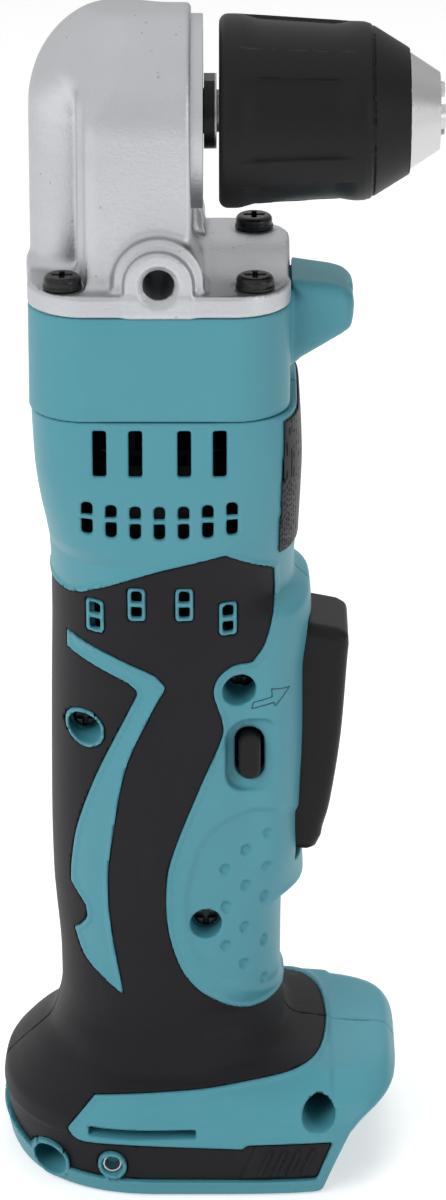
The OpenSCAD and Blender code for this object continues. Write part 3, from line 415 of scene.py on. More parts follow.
def cast_alloy():
    p = paint("cast_alloy")
    grain = p.noise(1500, 4)
    cloud = p.noise(60, 3)
    pits = p.node("TexVoronoi", sockets={"Vector": p.where(), "Scale": 420.0}) < 0.13
    sparse = p.noise(130, 2) > 0.6
    spots = pits*sparse
    tone = p.blend(cloud, rgb(0.50, 0.51, 0.53), rgb(0.60, 0.61, 0.63))
    colour = p.blend(spots, tone, rgb(0.47, 0.47, 0.48))
    return p.surface(Base_Color=colour, Metallic=1.0, Roughness=0.39 + 0.14*grain + 0.15*spots,
                    Normal=p.relief(grain - 0.8*spots, 0.00009))


def moulded_teal(name, depth):
    p = paint(name)
    grain = p.noise(2600, 2)
    cloud = p.noise(35, 3)
    # depth scales the colour; below 1 it gives teal darkened as painted shade
    low = rgb(0.08*depth, 0.325*depth, 0.395*depth)
    high = rgb(0.095*depth, 0.365*depth, 0.44*depth)
    colour = p.blend(cloud, low, high)
    return p.surface(Base_Color=colour, Roughness=0.40 + 0.1*grain, Normal=p.relief(grain, 0.00004))


def soft_rubber():
    p = paint("soft_rubber")
    grain = p.noise(3200, 2)
    cloud = p.noise(45, 4)
    scuff = p.noise(160, 5, (1, 1, 0.3)) > 0.66
    colour = p.blend(cloud, rgb(0.008, 0.0075, 0.0092), rgb(0.0135, 0.0128, 0.0155))
    return p.surface(Base_Color=colour, Specular_IOR_Level=0.22, Roughness=0.5 + 0.12*grain - 0.06*scuff,
                    Normal=p.relief(grain, 0.00005))


def black_plastic(name, tone, gloss):
    p = paint(name)
    grain = p.noise(2400, 2)
    cloud = p.noise(50, 3)
    colour = p.blend(cloud, rgb(tone, tone, tone*1.08), rgb(tone*1.35, tone*1.35, tone*1.45))
    return p.surface(Base_Color=colour, Specular_IOR_Level=0.2, Roughness=gloss + 0.1*grain,
                    Normal=p.relief(grain, 0.00004))


def turned_steel(name, tone, gloss, stretch):
    """Ground steel whose fine lines run across the stretch."""
    p = paint(name)
    lines = p.noise(900, 3, stretch)
    cloud = p.noise(70, 3)
    colour = p.blend(cloud, rgb(tone*0.9, tone*0.9, tone*0.91), rgb(tone, tone, tone*1.01))
    return p.surface(Base_Color=colour, Metallic=1.0, Roughness=gloss + 0.2*lines,
                    Normal=p.relief(lines, 0.00004))


def black_oxide():
    p = paint("black_oxide")
    grain = p.noise(1800, 3)
    colour = p.blend(grain, rgb(0.012, 0.012, 0.013), rgb(0.03, 0.03, 0.032))
    return p.surface(Base_Color=colour, Metallic=0.6, Roughness=0.22 + 0.15*grain,
                    Normal=p.relief(grain, 0.00003))


def spindle_steel():
    """Ground steel with a blackened collar between head and chuck."""
    p = paint("spindle_steel")
    lines = p.noise(900, 3, (6, 1, 1))
    x = p.node("SeparateXYZ", sockets={"Vector": p.where()}, out="X")
    collar = (x > COLLAR_X[0]*MM)*(x < COLLAR_X[1]*MM)
    colour = p.blend(collar, rgb(0.55, 0.55, 0.56), rgb(0.014, 0.014, 0.015))
    return p.surface(Base_Color=colour, Metallic=1.0 - 0.5*collar, Roughness=0.25 + 0.15*lines,
                    Normal=p.relief(lines, 0.00003))


def warm_metal(name, colour, gloss):
    p = paint(name)
    grain = p.noise(1400, 3)
    dark = tuple(0.75*c for c in colour)
    return p.surface(Base_Color=p.blend(grain, rgb(*dark), rgb(*colour)), Metallic=1.0,
                    Roughness=gloss + 0.2*grain, Normal=p.relief(grain, 0.00004))


def board_green():
    p = paint("board_green")
    weave = p.noise(1100, 2, (1, 4, 1))
    return p.surface(Base_Color=p.blend(weave, rgb(0.01, 0.12, 0.05), rgb(0.02, 0.2, 0.09)),
                    Roughness=0.3 + 0.2*weave)


def lens_clear():
    p = paint("lens_clear")
    haze = p.noise(600, 2)
    return p.surface(Base_Color=p.blend(haze, rgb(0.86, 0.87, 0.84), rgb(0.95, 0.96, 0.93)),
                    Roughness=0.06 + 0.08*haze, Coat_Weight=0.6)


def plate_film():
    p = paint("plate_film")
    grain = p.noise(900, 3)
    return p.surface(Base_Color=p.blend(grain, rgb(0.016, 0.016, 0.019), rgb(0.024, 0.024, 0.028)),
                    Specular_IOR_Level=0.3, Roughness=0.42 + 0.15*grain, Normal=p.relief(grain, 0.00002))


ALLOY = cast_alloy()
TEAL = moulded_teal("moulded_teal", 1.0)
# Teal at under a third of its brightness: painted shade for the line round the arrow
SHADED_TEAL = moulded_teal("shaded_teal", 0.3)
RUBBER = soft_rubber()
TRIGGER_BLACK = black_plastic("trigger_black", 0.0075, 0.38)
SLEEVE_BLACK = black_plastic("sleeve_black", 0.0085, 0.42)
DARK_PLASTIC = black_plastic("dark_plastic", 0.012, 0.45)
STEEL = turned_steel("turned_steel", 0.62, 0.24, (6, 1, 1))
GEAR_STEEL = turned_steel("gear_steel", 0.5, 0.3, (1, 1, 5))
MOTOR_STEEL = turned_steel("motor_steel", 0.06, 0.5, (1, 1, 6))
OXIDE = black_oxide()
SPINDLE = spindle_steel()
BRONZE = warm_metal("sintered_bronze", (0.58, 0.40, 0.2), 0.32)
COPPER = warm_metal("copper_wire", (0.72, 0.36, 0.2), 0.3)
BOARD = board_green()
LENS = lens_clear()
FILM = plate_film()

# Body of the tool: height, front, back, half width, squareness of each section
STATION_STEP = 0.25
STATIONS = np.array([
    [0, 53.4, 34.9, 38.7, 4.6], [2.5, 54.1, 36.1, 39.05, 4.6], [7, 54.4, 36.9, 39.05, 4.6],
    [13, 54.6, 37.4, 39.05, 4.6], [16.6, 54.6, 36.9, 38.6, 4.5], [20, 54.4, 34.2, 37, 4.3],
    [23, 53.9, 31.1, 33.4, 4.4], [24.8, 53.1, 29.2, 30, 4.6], [25.7, 51.6, 28.2, 28.2, 4.6],
    [26.6, 40, 27.3, 26.9, 3.6], [28, 30.6, 26.2, 26, 2.9], [31.4, 28.2, 24.8, 25.3, 2.6],
    [35, 27.9, 23.9, 24.9, 2.5], [39, 27.9, 23.5, 24.7, 2.4], [46, 28, 23.6, 24.6, 2.4],
    [61.5, 28.2, 24.8, 24.4, 2.3], [65.8, 33.2, 25.1, 24.6, 2.3],
    [82, 32.3, 25.4, 25, 2.3], [107, 33, 25.2, 25.9, 2.3], [120, 32.9, 25, 26.4, 2.3],
    [132, 34, 24.8, 26.9, 2.35], [137, 33.6, 24.8, 27.1, 2.4], [141.5, 30, 24.8, 27.3, 2.5],
    [149.5, 30.3, 25.2, 27.7, 2.8], [154, 30.5, 25.6, 28, 3.1], [163.5, 30.9, 27.2, 28.4, 3.7],
    [171, 31.1, 28, 28.6, 4.3], [185, 30.4, 28.7, 28.6, 4.5]])


def station_table():
    """Sections at small steps of height, on a smooth curve that never overshoots, with their slopes."""
    z = STATIONS[:, 0]
    heights = np.arange(-4, SEAM_Z + 4, STATION_STEP)
    columns = []
    for v in STATIONS[:, 1:].T:
        h, rise = np.diff(z), np.diff(v)/np.diff(z)
        m = np.concatenate([[rise[0]], np.zeros(len(z) - 2), [rise[-1]]])
        same = rise[:-1]*rise[1:] > 0
        weights = 2*h[1:] + h[:-1], h[1:] + 2*h[:-1]
        safe = np.where(same, rise[:-1], 1), np.where(same, rise[1:], 1)
        m[1:-1] = np.where(same, (weights[0] + weights[1])/(weights[0]/safe[0] + weights[1]/safe[1]), 0)
        k = np.clip(np.searchsorted(z, heights) - 1, 0, len(z) - 2)
        t = np.clip((heights - z[k])/h[k], 0, 1)
        columns.append(v[k]*(1 + 2*t)*(1 - t)**2 + v[k + 1]*t*t*(3 - 2*t)
                       + h[k]*(m[k]*t*(1 - t)**2 - m[k + 1]*t*t*(1 - t)))
    slopes = [np.gradient(c, heights) for c in columns[:3]]
    return heights, columns, slopes


HEIGHTS, SECTIONS, SLOPES = station_table()
FOOT_FILLET = 3


def section_at(x, z):
    """Front, back, half width and squareness: squarer beside and under the trigger, round at the back."""
    front, back, half, n = [np.interp(z, HEIGHTS, c) for c in SECTIONS]
    n = np.where(x < 0, np.minimum(n, 2.3 + 0.2*np.maximum(z - 150, 0)), n)
    cheek = ease((x - 18)/10)*ease((z - 66)/12)*ease((141 - z)/5)
    under = ease(x/12)*ease((66 - z)/4.5)*ease((z - 38)/8)
    fillet = bump((z - 27)/8)*ease((30 - x)/16)*ease((x + 26)/12)
    return front, back, half + FOOT_FILLET*fillet, n + 0.9*cheek + 0.7*under


def body_field(x, y, z):
    """Distance to the outside of the body's sections."""
    front, back, half, n = section_at(x, z)
    front_s, back_s, half_s = [np.interp(z, HEIGHTS, c) for c in SLOPES]
    a, a_s = np.where(x >= 0, front, back), np.where(x >= 0, front_s, back_s)
    u, v = np.abs(x)/a + 1e-6, np.abs(y)/half + 1e-6
    s = u**n + v**n
    g = s**(1/n)
    shrink = g/s
    flat = np.hypot(shrink*u**n/u/a, shrink*v**n/v/half)
    d = (g - 1)/flat
    tilt = shrink*(u**n*a_s/a + v**n*half_s/half)/flat
    return d/np.sqrt(1 + tilt*tilt)


def side_y(x, z):
    """Half width of the body at a point of the side view."""
    front, back, half, n = section_at(x, z)
    a = np.where(np.asarray(x) >= 0, front, back)
    return half*np.maximum(0, 1 - (np.abs(x)/a)**n)**(1/n)


# Drawn lines of the side view, in millimetres
GRIP_AREA = Outline([
    [(-48, 141.8), (-24.6, 141.6)],
    [(-24.6, 141.6), (-21.5, 141.5), (-18, 142.4), (-13, 144.9), (-2, 149.4), (13.4, 153.3)],
    [(14.6, 153.5), (24.2, 148.6)], [(25.4, 147.6), (25.5, 139.6), (23.6, 131), (20.8, 126.2)],
    [(19.8, 125.9), (16.2, 125.6), (13, 123), (12, 119.6), (12.8, 116.2)],
    [(13.9, 112.8), (13.8, 108), (8.8, 95.8), (3.2, 80.9), (1.3, 72), (1.6, 61), (4.2, 51.7), (7.6, 46.5),
     (12.2, 42.8), (17.9, 39.5), (23, 38.5), (28, 38.9)],
    [(48, 39), (48, 14)], [(39.6, 13.6), (35.6, 3.6)], [(34.6, 3.4), (-14, 3.6)],
    [(-14, 3.6), (-23.4, 4.1), (-29, 5), (-33, 6.6), (-36, 8)], [(-48, 9), (-48, 141.8)]])
STRIPE = Outline([
    [(-20.9, 131.6), (-11.2, 128.4), (-3, 125)], [(-1, 123.9), (0.9, 121.6)],
    [(0.9, 121), (-2.4, 114.6), (-8.1, 100.7), (-11.2, 83), (-12.3, 72), (-11.6, 60), (-8.9, 43.9)],
    [(-8.9, 43.9), (-13.4, 47.4), (-17.7, 51.6), (-19.9, 57.4)], [(-18.6, 58.6), (-17, 61.4), (-17.2, 64.6)],
    [(-20.7, 69.4), (-20.4, 75), (-18.8, 84.8), (-13.9, 99.7), (-5, 119.6)],
    [(-5.4, 120.8), (-8, 122.8), (-15.8, 126), (-20.9, 127.8)]])
DENT_AREA = Outline([
    [(6.2, 76), (8.4, 82.6), (13.6, 87.8), (21.5, 90.2), (30, 88), (36, 80)],
    [(40, 70), (40, 30)], [(34, 36), (20, 43.4), (10.4, 48.4), (5.4, 58), (4.6, 68), (6.2, 76)]])
# Bare teal of the base, drawn as seen from above at a slant: x, and a height that falls away from the seam
BASE_SLANT = math.radians(22)
BASE_AREA = Outline([
    [(-15.3, 8.75), (-2.2, 9.35), (9.4, 10.2), (18.75, 11.7), (26.9, 13.2), (31.6, 14.7), (35.05, 16.8),
     (37.1, 19.6), (38.1, 23.6), (38.5, 30)],
    [(38.5, 60), (62, 60)], [(62, -6), (40, -6)], [(39.1, -1.9), (19.6, -2.5)],
    [(18.4, -3.4), (3.6, -2.9), (-8, -2.4), (-17.05, -1.9), (-20, -0.9), (-21.6, 1.1)]])
BATTERY_CUT = Outline([[(36.4, -6), (37, 0), (42.4, 12.2), (44.4, 15), (47.4, 17.3), (53.4, 19.6)],
                       [(62, 22), (62, -6)]])
ARROW = Outline([[(20.4, 114.6), (20.9, 116.2)], [(25.1, 117.2), (24.9, 119.2)], [(29, 118.5), (25.7, 114.8)],
                 [(25.4, 115.9), (25.3, 115.8)]])

# Places in the side view, with radii, half sizes and floors; a floor is measured from the seam
SCREW_RING = (-17.1, 109.2)
SCREW_UPPER = (17.6, 119.5)
SCREW_LOW = (10.1, 61.5)
SCREW_BASE = (35.9, 18.9)
SCREW_BACK = (-25.8, 4.9)
# Place, radius and floor of the recesses with a screw, and of the one at the back without
SCREW_RECESSES = [(SCREW_RING, 3.7, 12), (SCREW_UPPER, 3.75, 12), (SCREW_LOW, 3.6, 16.5),
                  (SCREW_BASE, 3.8, 12)]
BACK_RECESS = (SCREW_BACK, 3.7, 15)
SCREW_BOSS_R = 5
SCREW_RIM_R = 4.5
HOOK = (-11.4, 7.1)
HOOK_RIM_R = 3.3
HOOK_HOLE_R = 2.4
HOOK_FLOOR = 33
SLOT_AT, SLOT_HALF = (-4.5, 15.3), (12.3, 1.05)
SLOT_TILT = 0.02
SLOT_FLOOR = 30
BAY_X = (-20, 75)
BAY_Z = (-9, 13.6)
BAY_LOW_HALF, BAY_HIGH_HALF = 27, 32
BAY_LEDGE_Z = 4
BUTTON = (20, 103)
BUTTON_HOLE = (3.3, 6.3)
BUTTON_FLOOR = 12
WELL_AT, WELL_HALF, WELL_R = (20.8, 103), (6.2, 8.7), 4.6
WELL_FLOOR, WELL_TILT = 20.4, 0.09
BACKING_HALF, BACKING_R = (7.4, 9.9), 5.6
BACKING_Y = (-22, -17)
DENT = 0.7
DIMPLE_R = 1.5
DIMPLE_LIFT = 0.55
RIM_W = 1.3
RIM_H = 0.4
RING_RISE = 0.42
RUBBER_T = 2.0
RUBBER_GAP = 0.1
WALL = 3.7
HOLLOW_FROM = 64
HOOD_X, HOOD_DROP = 38.3, 0.7
SEAM_GAP = 0.06
COVER_GAP = 0.08
PADDLE_SLOT = ((18, -11.9, 72.4), (60, 11.9, 132))
DIMPLES = [(24.5, 82.7), (19.5, 78.9), (24.3, 74.1), (14.7, 74.8), (19.5, 69.9), (23.8, 66.2), (14.9, 65.3),
           (19.3, 59.5), (23.9, 54.8), (14.9, 55.6), (19.3, 50.4), (23.9, 45.1)]
VENT_FLOOR = 19
VENT_LIP, VENT_FLARE = 1.1, 0.4
VENT_TOP, VENT_TOP_HALF, VENT_TOP_DROP = [-13.1, -5.2, 5.5, 13.3], (1.5, 5.4), 7.3
VENT_MID, VENT_MID_HALF, VENT_MID_Z = [5.33*k for k in range(-3, 4)], (1.25, 4.0), 161.3
VENT_LOW = [(-14.5, 137.6), (-5.2, 141.6), (5.4, 141.6), (15.1, 137.6)]
VENT_LOW_HALF, VENT_LOW_RIM = (1.2, 3.2), (2, 3.9)


def grip_area(x, y, z):
    """Rubber in the side view, without the stripe and the bare part of the base."""
    seen = math.cos(BASE_SLANT)*z - math.sin(BASE_SLANT)*np.abs(y)
    return cut(cut(GRIP_AREA(x, z), STRIPE(x, z)), BASE_AREA(x, seen))


def rings(x, z, grow=0.0):
    """Teal rims that stand in the rubber: low vents, two screw recesses, the hook's insert."""
    d = disc(x - SCREW_RING[0], z - SCREW_RING[1], SCREW_RIM_R + grow)
    d = join(d, disc(x - SCREW_BACK[0], z - SCREW_BACK[1], SCREW_RIM_R + grow))
    d = join(d, disc(x - HOOK[0], z - HOOK[1], HOOK_RIM_R + grow))
    for vx, vz in VENT_LOW:
        d = join(d, rounded(x - vx, z - vz, VENT_LOW_RIM[0] + grow, VENT_LOW_RIM[1] + grow, 0.9))
    return d


def vents(x, z):
    """Three rows of vents, the lower two with a bar across."""
    d = np.full(np.shape(x), FAR)
    for vx in VENT_TOP:
        d = join(d, rounded(x - vx, z - SEAM_Z + VENT_TOP_DROP, *VENT_TOP_HALF, 0.5))
    for vx in VENT_MID:
        middle = VENT_MID_Z + 0.0035*vx*vx
        bar = slab(z, middle - 0.2, middle + 0.85)
        d = join(d, cut(rounded(x - vx, z - middle, *VENT_MID_HALF, 1.0), bar))
    for vx, vz in VENT_LOW:
        bar = slab(z, vz - 0.5, vz + 0.5)
        d = join(d, cut(rounded(x - vx, z - vz, *VENT_LOW_HALF, 0.5), bar))
    return d


def housing_openings(x, y, z, skin, right):
    """Everything that goes through the teal shell; the vents widen inwards."""
    d = both(vents(x, z) - VENT_FLARE*np.clip(-skin - VENT_LIP, 0, 3), y + VENT_FLOOR)
    hook = rounded(x - HOOK[0], z - HOOK[1], HOOK_HOLE_R, HOOK_HOLE_R, HOOK_HOLE_R - 0.01)
    d = join(d, both(hook, y + HOOK_FLOOR))
    along = x - SLOT_AT[0]
    d = join(d, both(rounded(along, z - SLOT_AT[1] - SLOT_TILT*along, *SLOT_HALF, 0.3), y + SLOT_FLOOR))
    lever = rounded(x - BUTTON[0], z - BUTTON[1], *BUTTON_HOLE, 3.2)
    d = join(d, both(lever, y + BUTTON_FLOOR))
    if right:
        for (sx, sz), r, seat in SCREW_RECESSES + [BACK_RECESS]:
            d = join(d, both(disc(x - sx, z - sz, r), y + seat))
    return d


def shell_skin(x, z, skin, area):
    """Outside of the shell: rim along the rubber, dished palm area, low hood, the rubber's bed, its rings."""
    rim = ease((RIM_W - area)/0.9)*(area > -0.4)
    outer = skin - RIM_H*rim + DENT*ease(-DENT_AREA(x, z)/2.2)
    outer = outer + HOOD_DROP*ease((x - HOOD_X)/1.5)*ease((z - 20)/5)*ease((36 - z)/4)
    solid = cut(outer, both(area + RUBBER_GAP, -(skin + RUBBER_T + 0.05)), 0.3)
    return join(solid, both(skin - RING_RISE, rings(x, z), 0.3))


def bay_field(x, y, z):
    """Room for the battery's head, wider above a ledge."""
    low = block(x, y, z, (BAY_X[0], -BAY_LOW_HALF, BAY_Z[0]), (BAY_X[1], BAY_LOW_HALF, BAY_Z[1]), 0.8)
    high = block(x, y, z, (BAY_X[0], -BAY_HIGH_HALF, BAY_LEDGE_Z), (BAY_X[1], BAY_HIGH_HALF, BAY_Z[1]), 0.8)
    return join(low, high)


def housing_field(right):
    """Teal half shell on the -Y side."""
    dents = [(x, -float(side_y(x, z)) + DENT - DIMPLE_LIFT, z) for x, z in DIMPLES]

    def field(x, y, z):
        skin = body_field(x, y, z)
        solid = shell_skin(x, z, skin, grip_area(x, y, z))
        solid = cut(solid, both(skin + WALL, slab(z, HOLLOW_FROM, SEAM_Z + 3), 1))
        for bx, bz in (SCREW_RING, SCREW_UPPER, SCREW_LOW):
            solid = join(solid, both(disc(x - bx, z - bz, SCREW_BOSS_R), skin + 3))
        for cx, cy, cz in dents:
            solid = cut(solid, np.sqrt((x - cx)**2 + (y - cy)**2 + (z - cz)**2) - DIMPLE_R, 0.2)
        u, w = x - WELL_AT[0], z - WELL_AT[1]
        backing = both(rounded(u, w, *BACKING_HALF, BACKING_R), slab(y, *BACKING_Y))
        solid = join(solid, both(backing, skin + 1))
        well = both(rounded(u, w, *WELL_HALF, WELL_R), y + WELL_FLOOR + WELL_TILT*(x - BUTTON[0]), 1.2)
        solid = cut(solid, well, 0.8)
        solid = cut(solid, housing_openings(x, y, z, skin, right), 0.5)
        solid = cut(solid, BATTERY_CUT(x, z), 1.6)
        solid = cut(solid, bay_field(x, y, z), 0.4)
        solid = cut(solid, block(x, y, z, *PADDLE_SLOT, 1.2), 0.6)
        solid = round_both(solid, y + SEAM_GAP, 0.35)
        solid = round_both(solid, -z, 0.7)
        return round_both(solid, z - SEAM_Z + COVER_GAP, 0.35)

    return field


PAD_AT, PAD_HALF, PAD_LEAN = (28.6, 8.6), (9.2, 4.6), 0.43
RIBS, RIB_PITCH = 4, 3.3
RIB_AT, RIB_HALF = (23.6, 8.2), (1.0, 3.6)
BAND_TOP, BAND_SUNK = 14, 0.75


def rubber_field(x, y, z):
    """Overmould on the -Y side, with a ribbed pad at the front of its low band."""
    skin = body_field(x, y, z)
    area = grip_area(x, y, z)
    up = z - PAD_AT[1]
    rise = 0.6*ease(-rounded(x - PAD_AT[0] - PAD_LEAN*up, up, *PAD_HALF, 0.5)/0.6)
    up = z - RIB_AT[1]
    for k in range(RIBS):
        rib = rounded(x - RIB_AT[0] - RIB_PITCH*k - PAD_LEAN*up, up, *RIB_HALF, 0.5)
        rise = rise + 0.7*ease(-rib/0.7)
    outer = skin + (BAND_SUNK - rise)*ease((BAND_TOP - z)/1.5)
    solid = both(outer, -(skin + RUBBER_T))
    solid = both(solid, area + RUBBER_GAP, 0.4)
    solid = cut(solid, rings(x, z, RUBBER_GAP), 0.35)
    return round_both(solid, y + SEAM_GAP, 0.3)


def mirrored(field):
    return lambda x, y, z: field(x, -y, z)


RUBBER_TOP = 156
HALF_LO, HALF_HI = (-39, -41, -0.5), (56, 0.5, SEAM_Z + 0.5)
RIGHT_SIDE = ("right", lambda f: f, HALF_LO, HALF_HI)
LEFT_SIDE = ("left", mirrored, (HALF_LO[0], -HALF_HI[1], HALF_LO[2]), (HALF_HI[0], -HALF_LO[1], HALF_HI[2]))
for side, turn, low, high in (RIGHT_SIDE, LEFT_SIDE):
    shape(f"shell_{side}", turn(housing_field(side == "right")), low, high, SHELL_STEP, "housing", "teal",
          TEAL, f"housing_{side}")
    shape(f"overmould_{side}", turn(rubber_field), low, (high[0], high[1], RUBBER_TOP), RUBBER_STEP,
          "housing", "rubber", RUBBER, f"grip_{side}")

PLATE_X, PLATE_LEAN = 26.4, 0.035
PLATE_Z = (150.8, 184)
PLATE_T = 0.55


def plate_field(x, y, z):
    """Bare plate wrapped round the front of the motor housing."""
    skin = body_field(x, y, z)
    leaf = both(skin - PLATE_T, -(skin - 0.02))
    return both(both(leaf, PLATE_X + PLATE_LEAN*(z - 152) - x), slab(z, *PLATE_Z), 0.8)


shape("front_plate", plate_field, (12, -23, 149), (33, 23, 185), TRIM_STEP, "housing", "plate", FILM,
      "name_plate")

# Gear case cover and head
LAMP_SIDE = Outline([[(20, 191), (29, 192), (31.4, 193.4)], [(40.4, 198.6), (42.2, 200.1), (42.8, 202.4)],
                     [(43, 205.2), (42.5, 207.4), (40.6, 209.3), (37.8, 210.2)], [(29.2, 211.3), (29.2, 209)],
                     [(20, 209), (20, 191)]])
LAMP_Z = SEAM_Z + 19.2
LAMP_HALF = 10.4
LENS_R = 3.5
LENS_BALL_X, LENS_BALL_R = 35.6, 5.2
LENS_BACK, LENS_SEAT = 36.4, 37.4


def lens_field(x, y, z):
    ball = np.sqrt((x - LENS_BALL_X)**2 + y*y + (z - LAMP_Z)**2) - LENS_BALL_R
    return both(both(disc(y, z - LAMP_Z, LENS_R), ball, 0.3), LENS_BACK - x, 0.3)


def cover_field(x, y, z):
    """Teal gear case cover with the lamp's hood."""
    plan = rounded(x, y, FLANGE[0] - 0.1, FLANGE[1] - 0.1, FLANGE_R)
    wall = round_both(plan, slab(z, SEAM_Z + COVER_GAP, FLANGE_Z - COVER_GAP), 0.5)
    hood = round_both(LAMP_SIDE(x, z), np.abs(y) - LAMP_HALF + 0.05*(z - 204) + 0.08*(x - 36), 3.4)
    hood = cut(hood, both(disc(y, z - LAMP_Z, LENS_R + 0.2), LENS_SEAT - x), 0.5)
    return join(wall, hood, 1.2)


ARCH_BACK, ARCH_FRONT = -17.8, 7
COLUMN_X, COLUMN_R = -19.2, 9.5
DOME_Z, DOME_R = 251, 15
COLUMN_LEAN, COLUMN_GROW = 5.9, 5.5
BOSS_Z = HEAD_Z + 2.4
STEP_BOSS_R, STEP_BOSS_Y = 10, 26.4
BOSS_R, BOSS_Y = 7.6, 28.62
BOSS_ROOT = 15
HANDLE_HOLE_R, HANDLE_HOLE_Y = 3.4, 18
TROUGH_R, TROUGH_RISE = 30, 26.8
SCREW_SEAT_R = 5
MOUTH_R = 18.4


def arch_and_column(x, y, z):
    """Arch round the spindle, and the column behind it that leans forward into a dome."""
    w = z - SPINDLE_Z
    profile = join(disc(y, w, ARCH_R), both(np.abs(y) - ARCH_R, w))
    arch = round_both(profile, ARCH_BACK - x, 5 + 6*ease((z - 250)/14))
    arch = round_both(arch, x - ARCH_FRONT, 1.2)
    arch = both(arch, HEAD_Z - 3 - z)
    upper = ease((z - 247)/13)
    dome = np.maximum(z - DOME_Z, 0)*DOME_R/18.6
    plan = (x - COLUMN_X - COLUMN_LEAN*upper)**2 + y*y
    column = np.sqrt(plan + dome*dome) - COLUMN_R - COLUMN_GROW*upper
    column = both(column, HEAD_Z - 3 - z)
    return join(arch, column, 1.2 + 7*ease((z - 252)/12))


def head_field(x, y, z):
    """Cast head: flange, arch, rear column, and a stepped boss each side for a handle."""
    flange = round_both(rounded(x, y, *FLANGE, FLANGE_R), slab(z, FLANGE_Z + 0.05, HEAD_Z), 0.7)
    trough = both(disc(y, z - HEAD_Z - TROUGH_RISE, TROUGH_R), 8.5 - x, 3)
    flange = cut(flange, trough, 1.5)
    body = join(arch_and_column(x, y, z), flange, 3)
    side = np.abs(y)
    ring = np.hypot(x, np.maximum(z - BOSS_Z, 0))
    step_boss = round_both(round_both(ring - STEP_BOSS_R, side - STEP_BOSS_Y, 1), BOSS_ROOT - side, 0.5)
    body = join(body, both(step_boss, FLANGE_Z + 0.05 - z), 1.8)
    boss = round_both(round_both(ring - BOSS_R, side - BOSS_Y, 0.8), BOSS_ROOT - side, 0.5)
    body = join(body, round_both(boss, FLANGE_Z + 0.05 - z, 0.6), 1)
    for sx, sy in SCREW_AT:
        body = cut(body, round_both(disc(x - sx, y - sy, SCREW_SEAT_R), HEAD_Z - z, 0.2), 0.8)
    bore = disc(x, z - BOSS_Z, HANDLE_HOLE_R)
    hole = both(bore, HANDLE_HOLE_Y - side)
    hole = join(hole, bore + 1.1*np.minimum(BOSS_Y - side, 1.4) - 1.4)
    body = cut(body, hole, 0.3)
    mouth = both(disc(y, z - SPINDLE_Z, MOUTH_R), 1 - x)
    body = cut(body, mouth, 0.4)
    return both(body, z - HEAD_TOP + 0.05, 0.8)


shape("gear_case_cover", cover_field, (-30, -30, SEAM_Z), (44, 30, 214), FORM_STEP, "housing", "teal", TEAL,
      "gear_cover")
shape("lamp_lens", lens_field, (36, -4, LAMP_Z - 4), (41, 4, LAMP_Z + 4), SCREW_STEP, "housing", "clear",
      LENS, "led_lens")
shape("gear_head", head_field, (-30, -30, FLANGE_Z), (30, 30, HEAD_TOP), FORM_STEP, "housing", "alloy", ALLOY,
      "gear_housing")

# Chuck sleeve: rear collar, five shallow flutes that run out at their ends, front cone
SLEEVE_EDGE = np.array([(0, 21.25), (5, 21.25), (31.9, 19.5), (33.2, 19.1), (41.9, 13.7)])
FLUTES = 5
FLUTE_TURN = math.radians(10.9)
FLUTE_HALF, FLUTE_DEPTH = 9.5, 0.95
FLUTE_AT, FLUTE_REACH, FLUTE_RUNOUT = 17, 13.6, 6
FLUTE_R = 20.5
GROOVE_AT, GROOVE_HALF, GROOVE_DEPTH = 33.6, 0.25, 0.3
SLEEVE_BACK = 0.9
REAR_BORE, NOSE_BORE, JAW_ROOM = 9.2, 13.25, 2.9
JAW_ROOM_END = 30.5


def sleeve_field(x, y, z):
    w = z - SPINDLE_Z
    r = np.hypot(y, w)
    along = x - CHUCK_X
    turn = np.arctan2(w, -y) - FLUTE_TURN
    pitch = 2*math.pi/FLUTES
    around = np.abs((turn + pitch/2) % pitch - pitch/2)*FLUTE_R
    flute = ease((FLUTE_HALF - around)/0.45)*ease((FLUTE_REACH - np.abs(along - FLUTE_AT))/FLUTE_RUNOUT)
    out = r - np.interp(along, SLEEVE_EDGE[:, 0], SLEEVE_EDGE[:, 1]) + FLUTE_DEPTH*flute
    solid = round_both(out*0.97, -along, 2)
    solid = round_both(solid, along - (SLEEVE_END - CHUCK_X), 0.5)
    groove = np.abs(along - GROOVE_AT) - GROOVE_HALF
    solid = cut(solid, both(groove, -(out + GROOVE_DEPTH)), 0.2)
    inside = NOSE_BORE + JAW_ROOM*ease((along - 1)/2)*ease((JAW_ROOM_END - along)/2)
    return cut(solid, r - np.where(along < SLEEVE_BACK, REAR_BORE, inside), 0.3)


shape("chuck_grip", sleeve_field, (CHUCK_X, -22, SPINDLE_Z - 22), (SLEEVE_END, 22, SPINDLE_Z + 22), TRIM_STEP,
      "sleeve", "black_plastic", SLEEVE_BLACK, "chuck_sleeve")

# Trigger paddle and direction button
PADDLE = Outline([[(27.5, 74.5), (33.4, 74.1)], [(35.2, 74.9), (36.5, 77.6)],
                  [(36.8, 79.6), (38.5, 86.2), (40.8, 102.4), (42.2, 121.6)],
                  [(42.5, 125), (42.1, 127.4), (40, 128.9)], [(34, 130.1), (27.5, 130.3)]])
PADDLE_HALF = 11.4
PADDLE_BACK = 27.5
PADDLE_HOLLOW_X = 33
PLUNGER_RISE = 19
PLUNGER_ROOM = 3.9
PIVOT = (22, 71)
PIN_HOLE_R = 1.65
ARM_R = 3.4


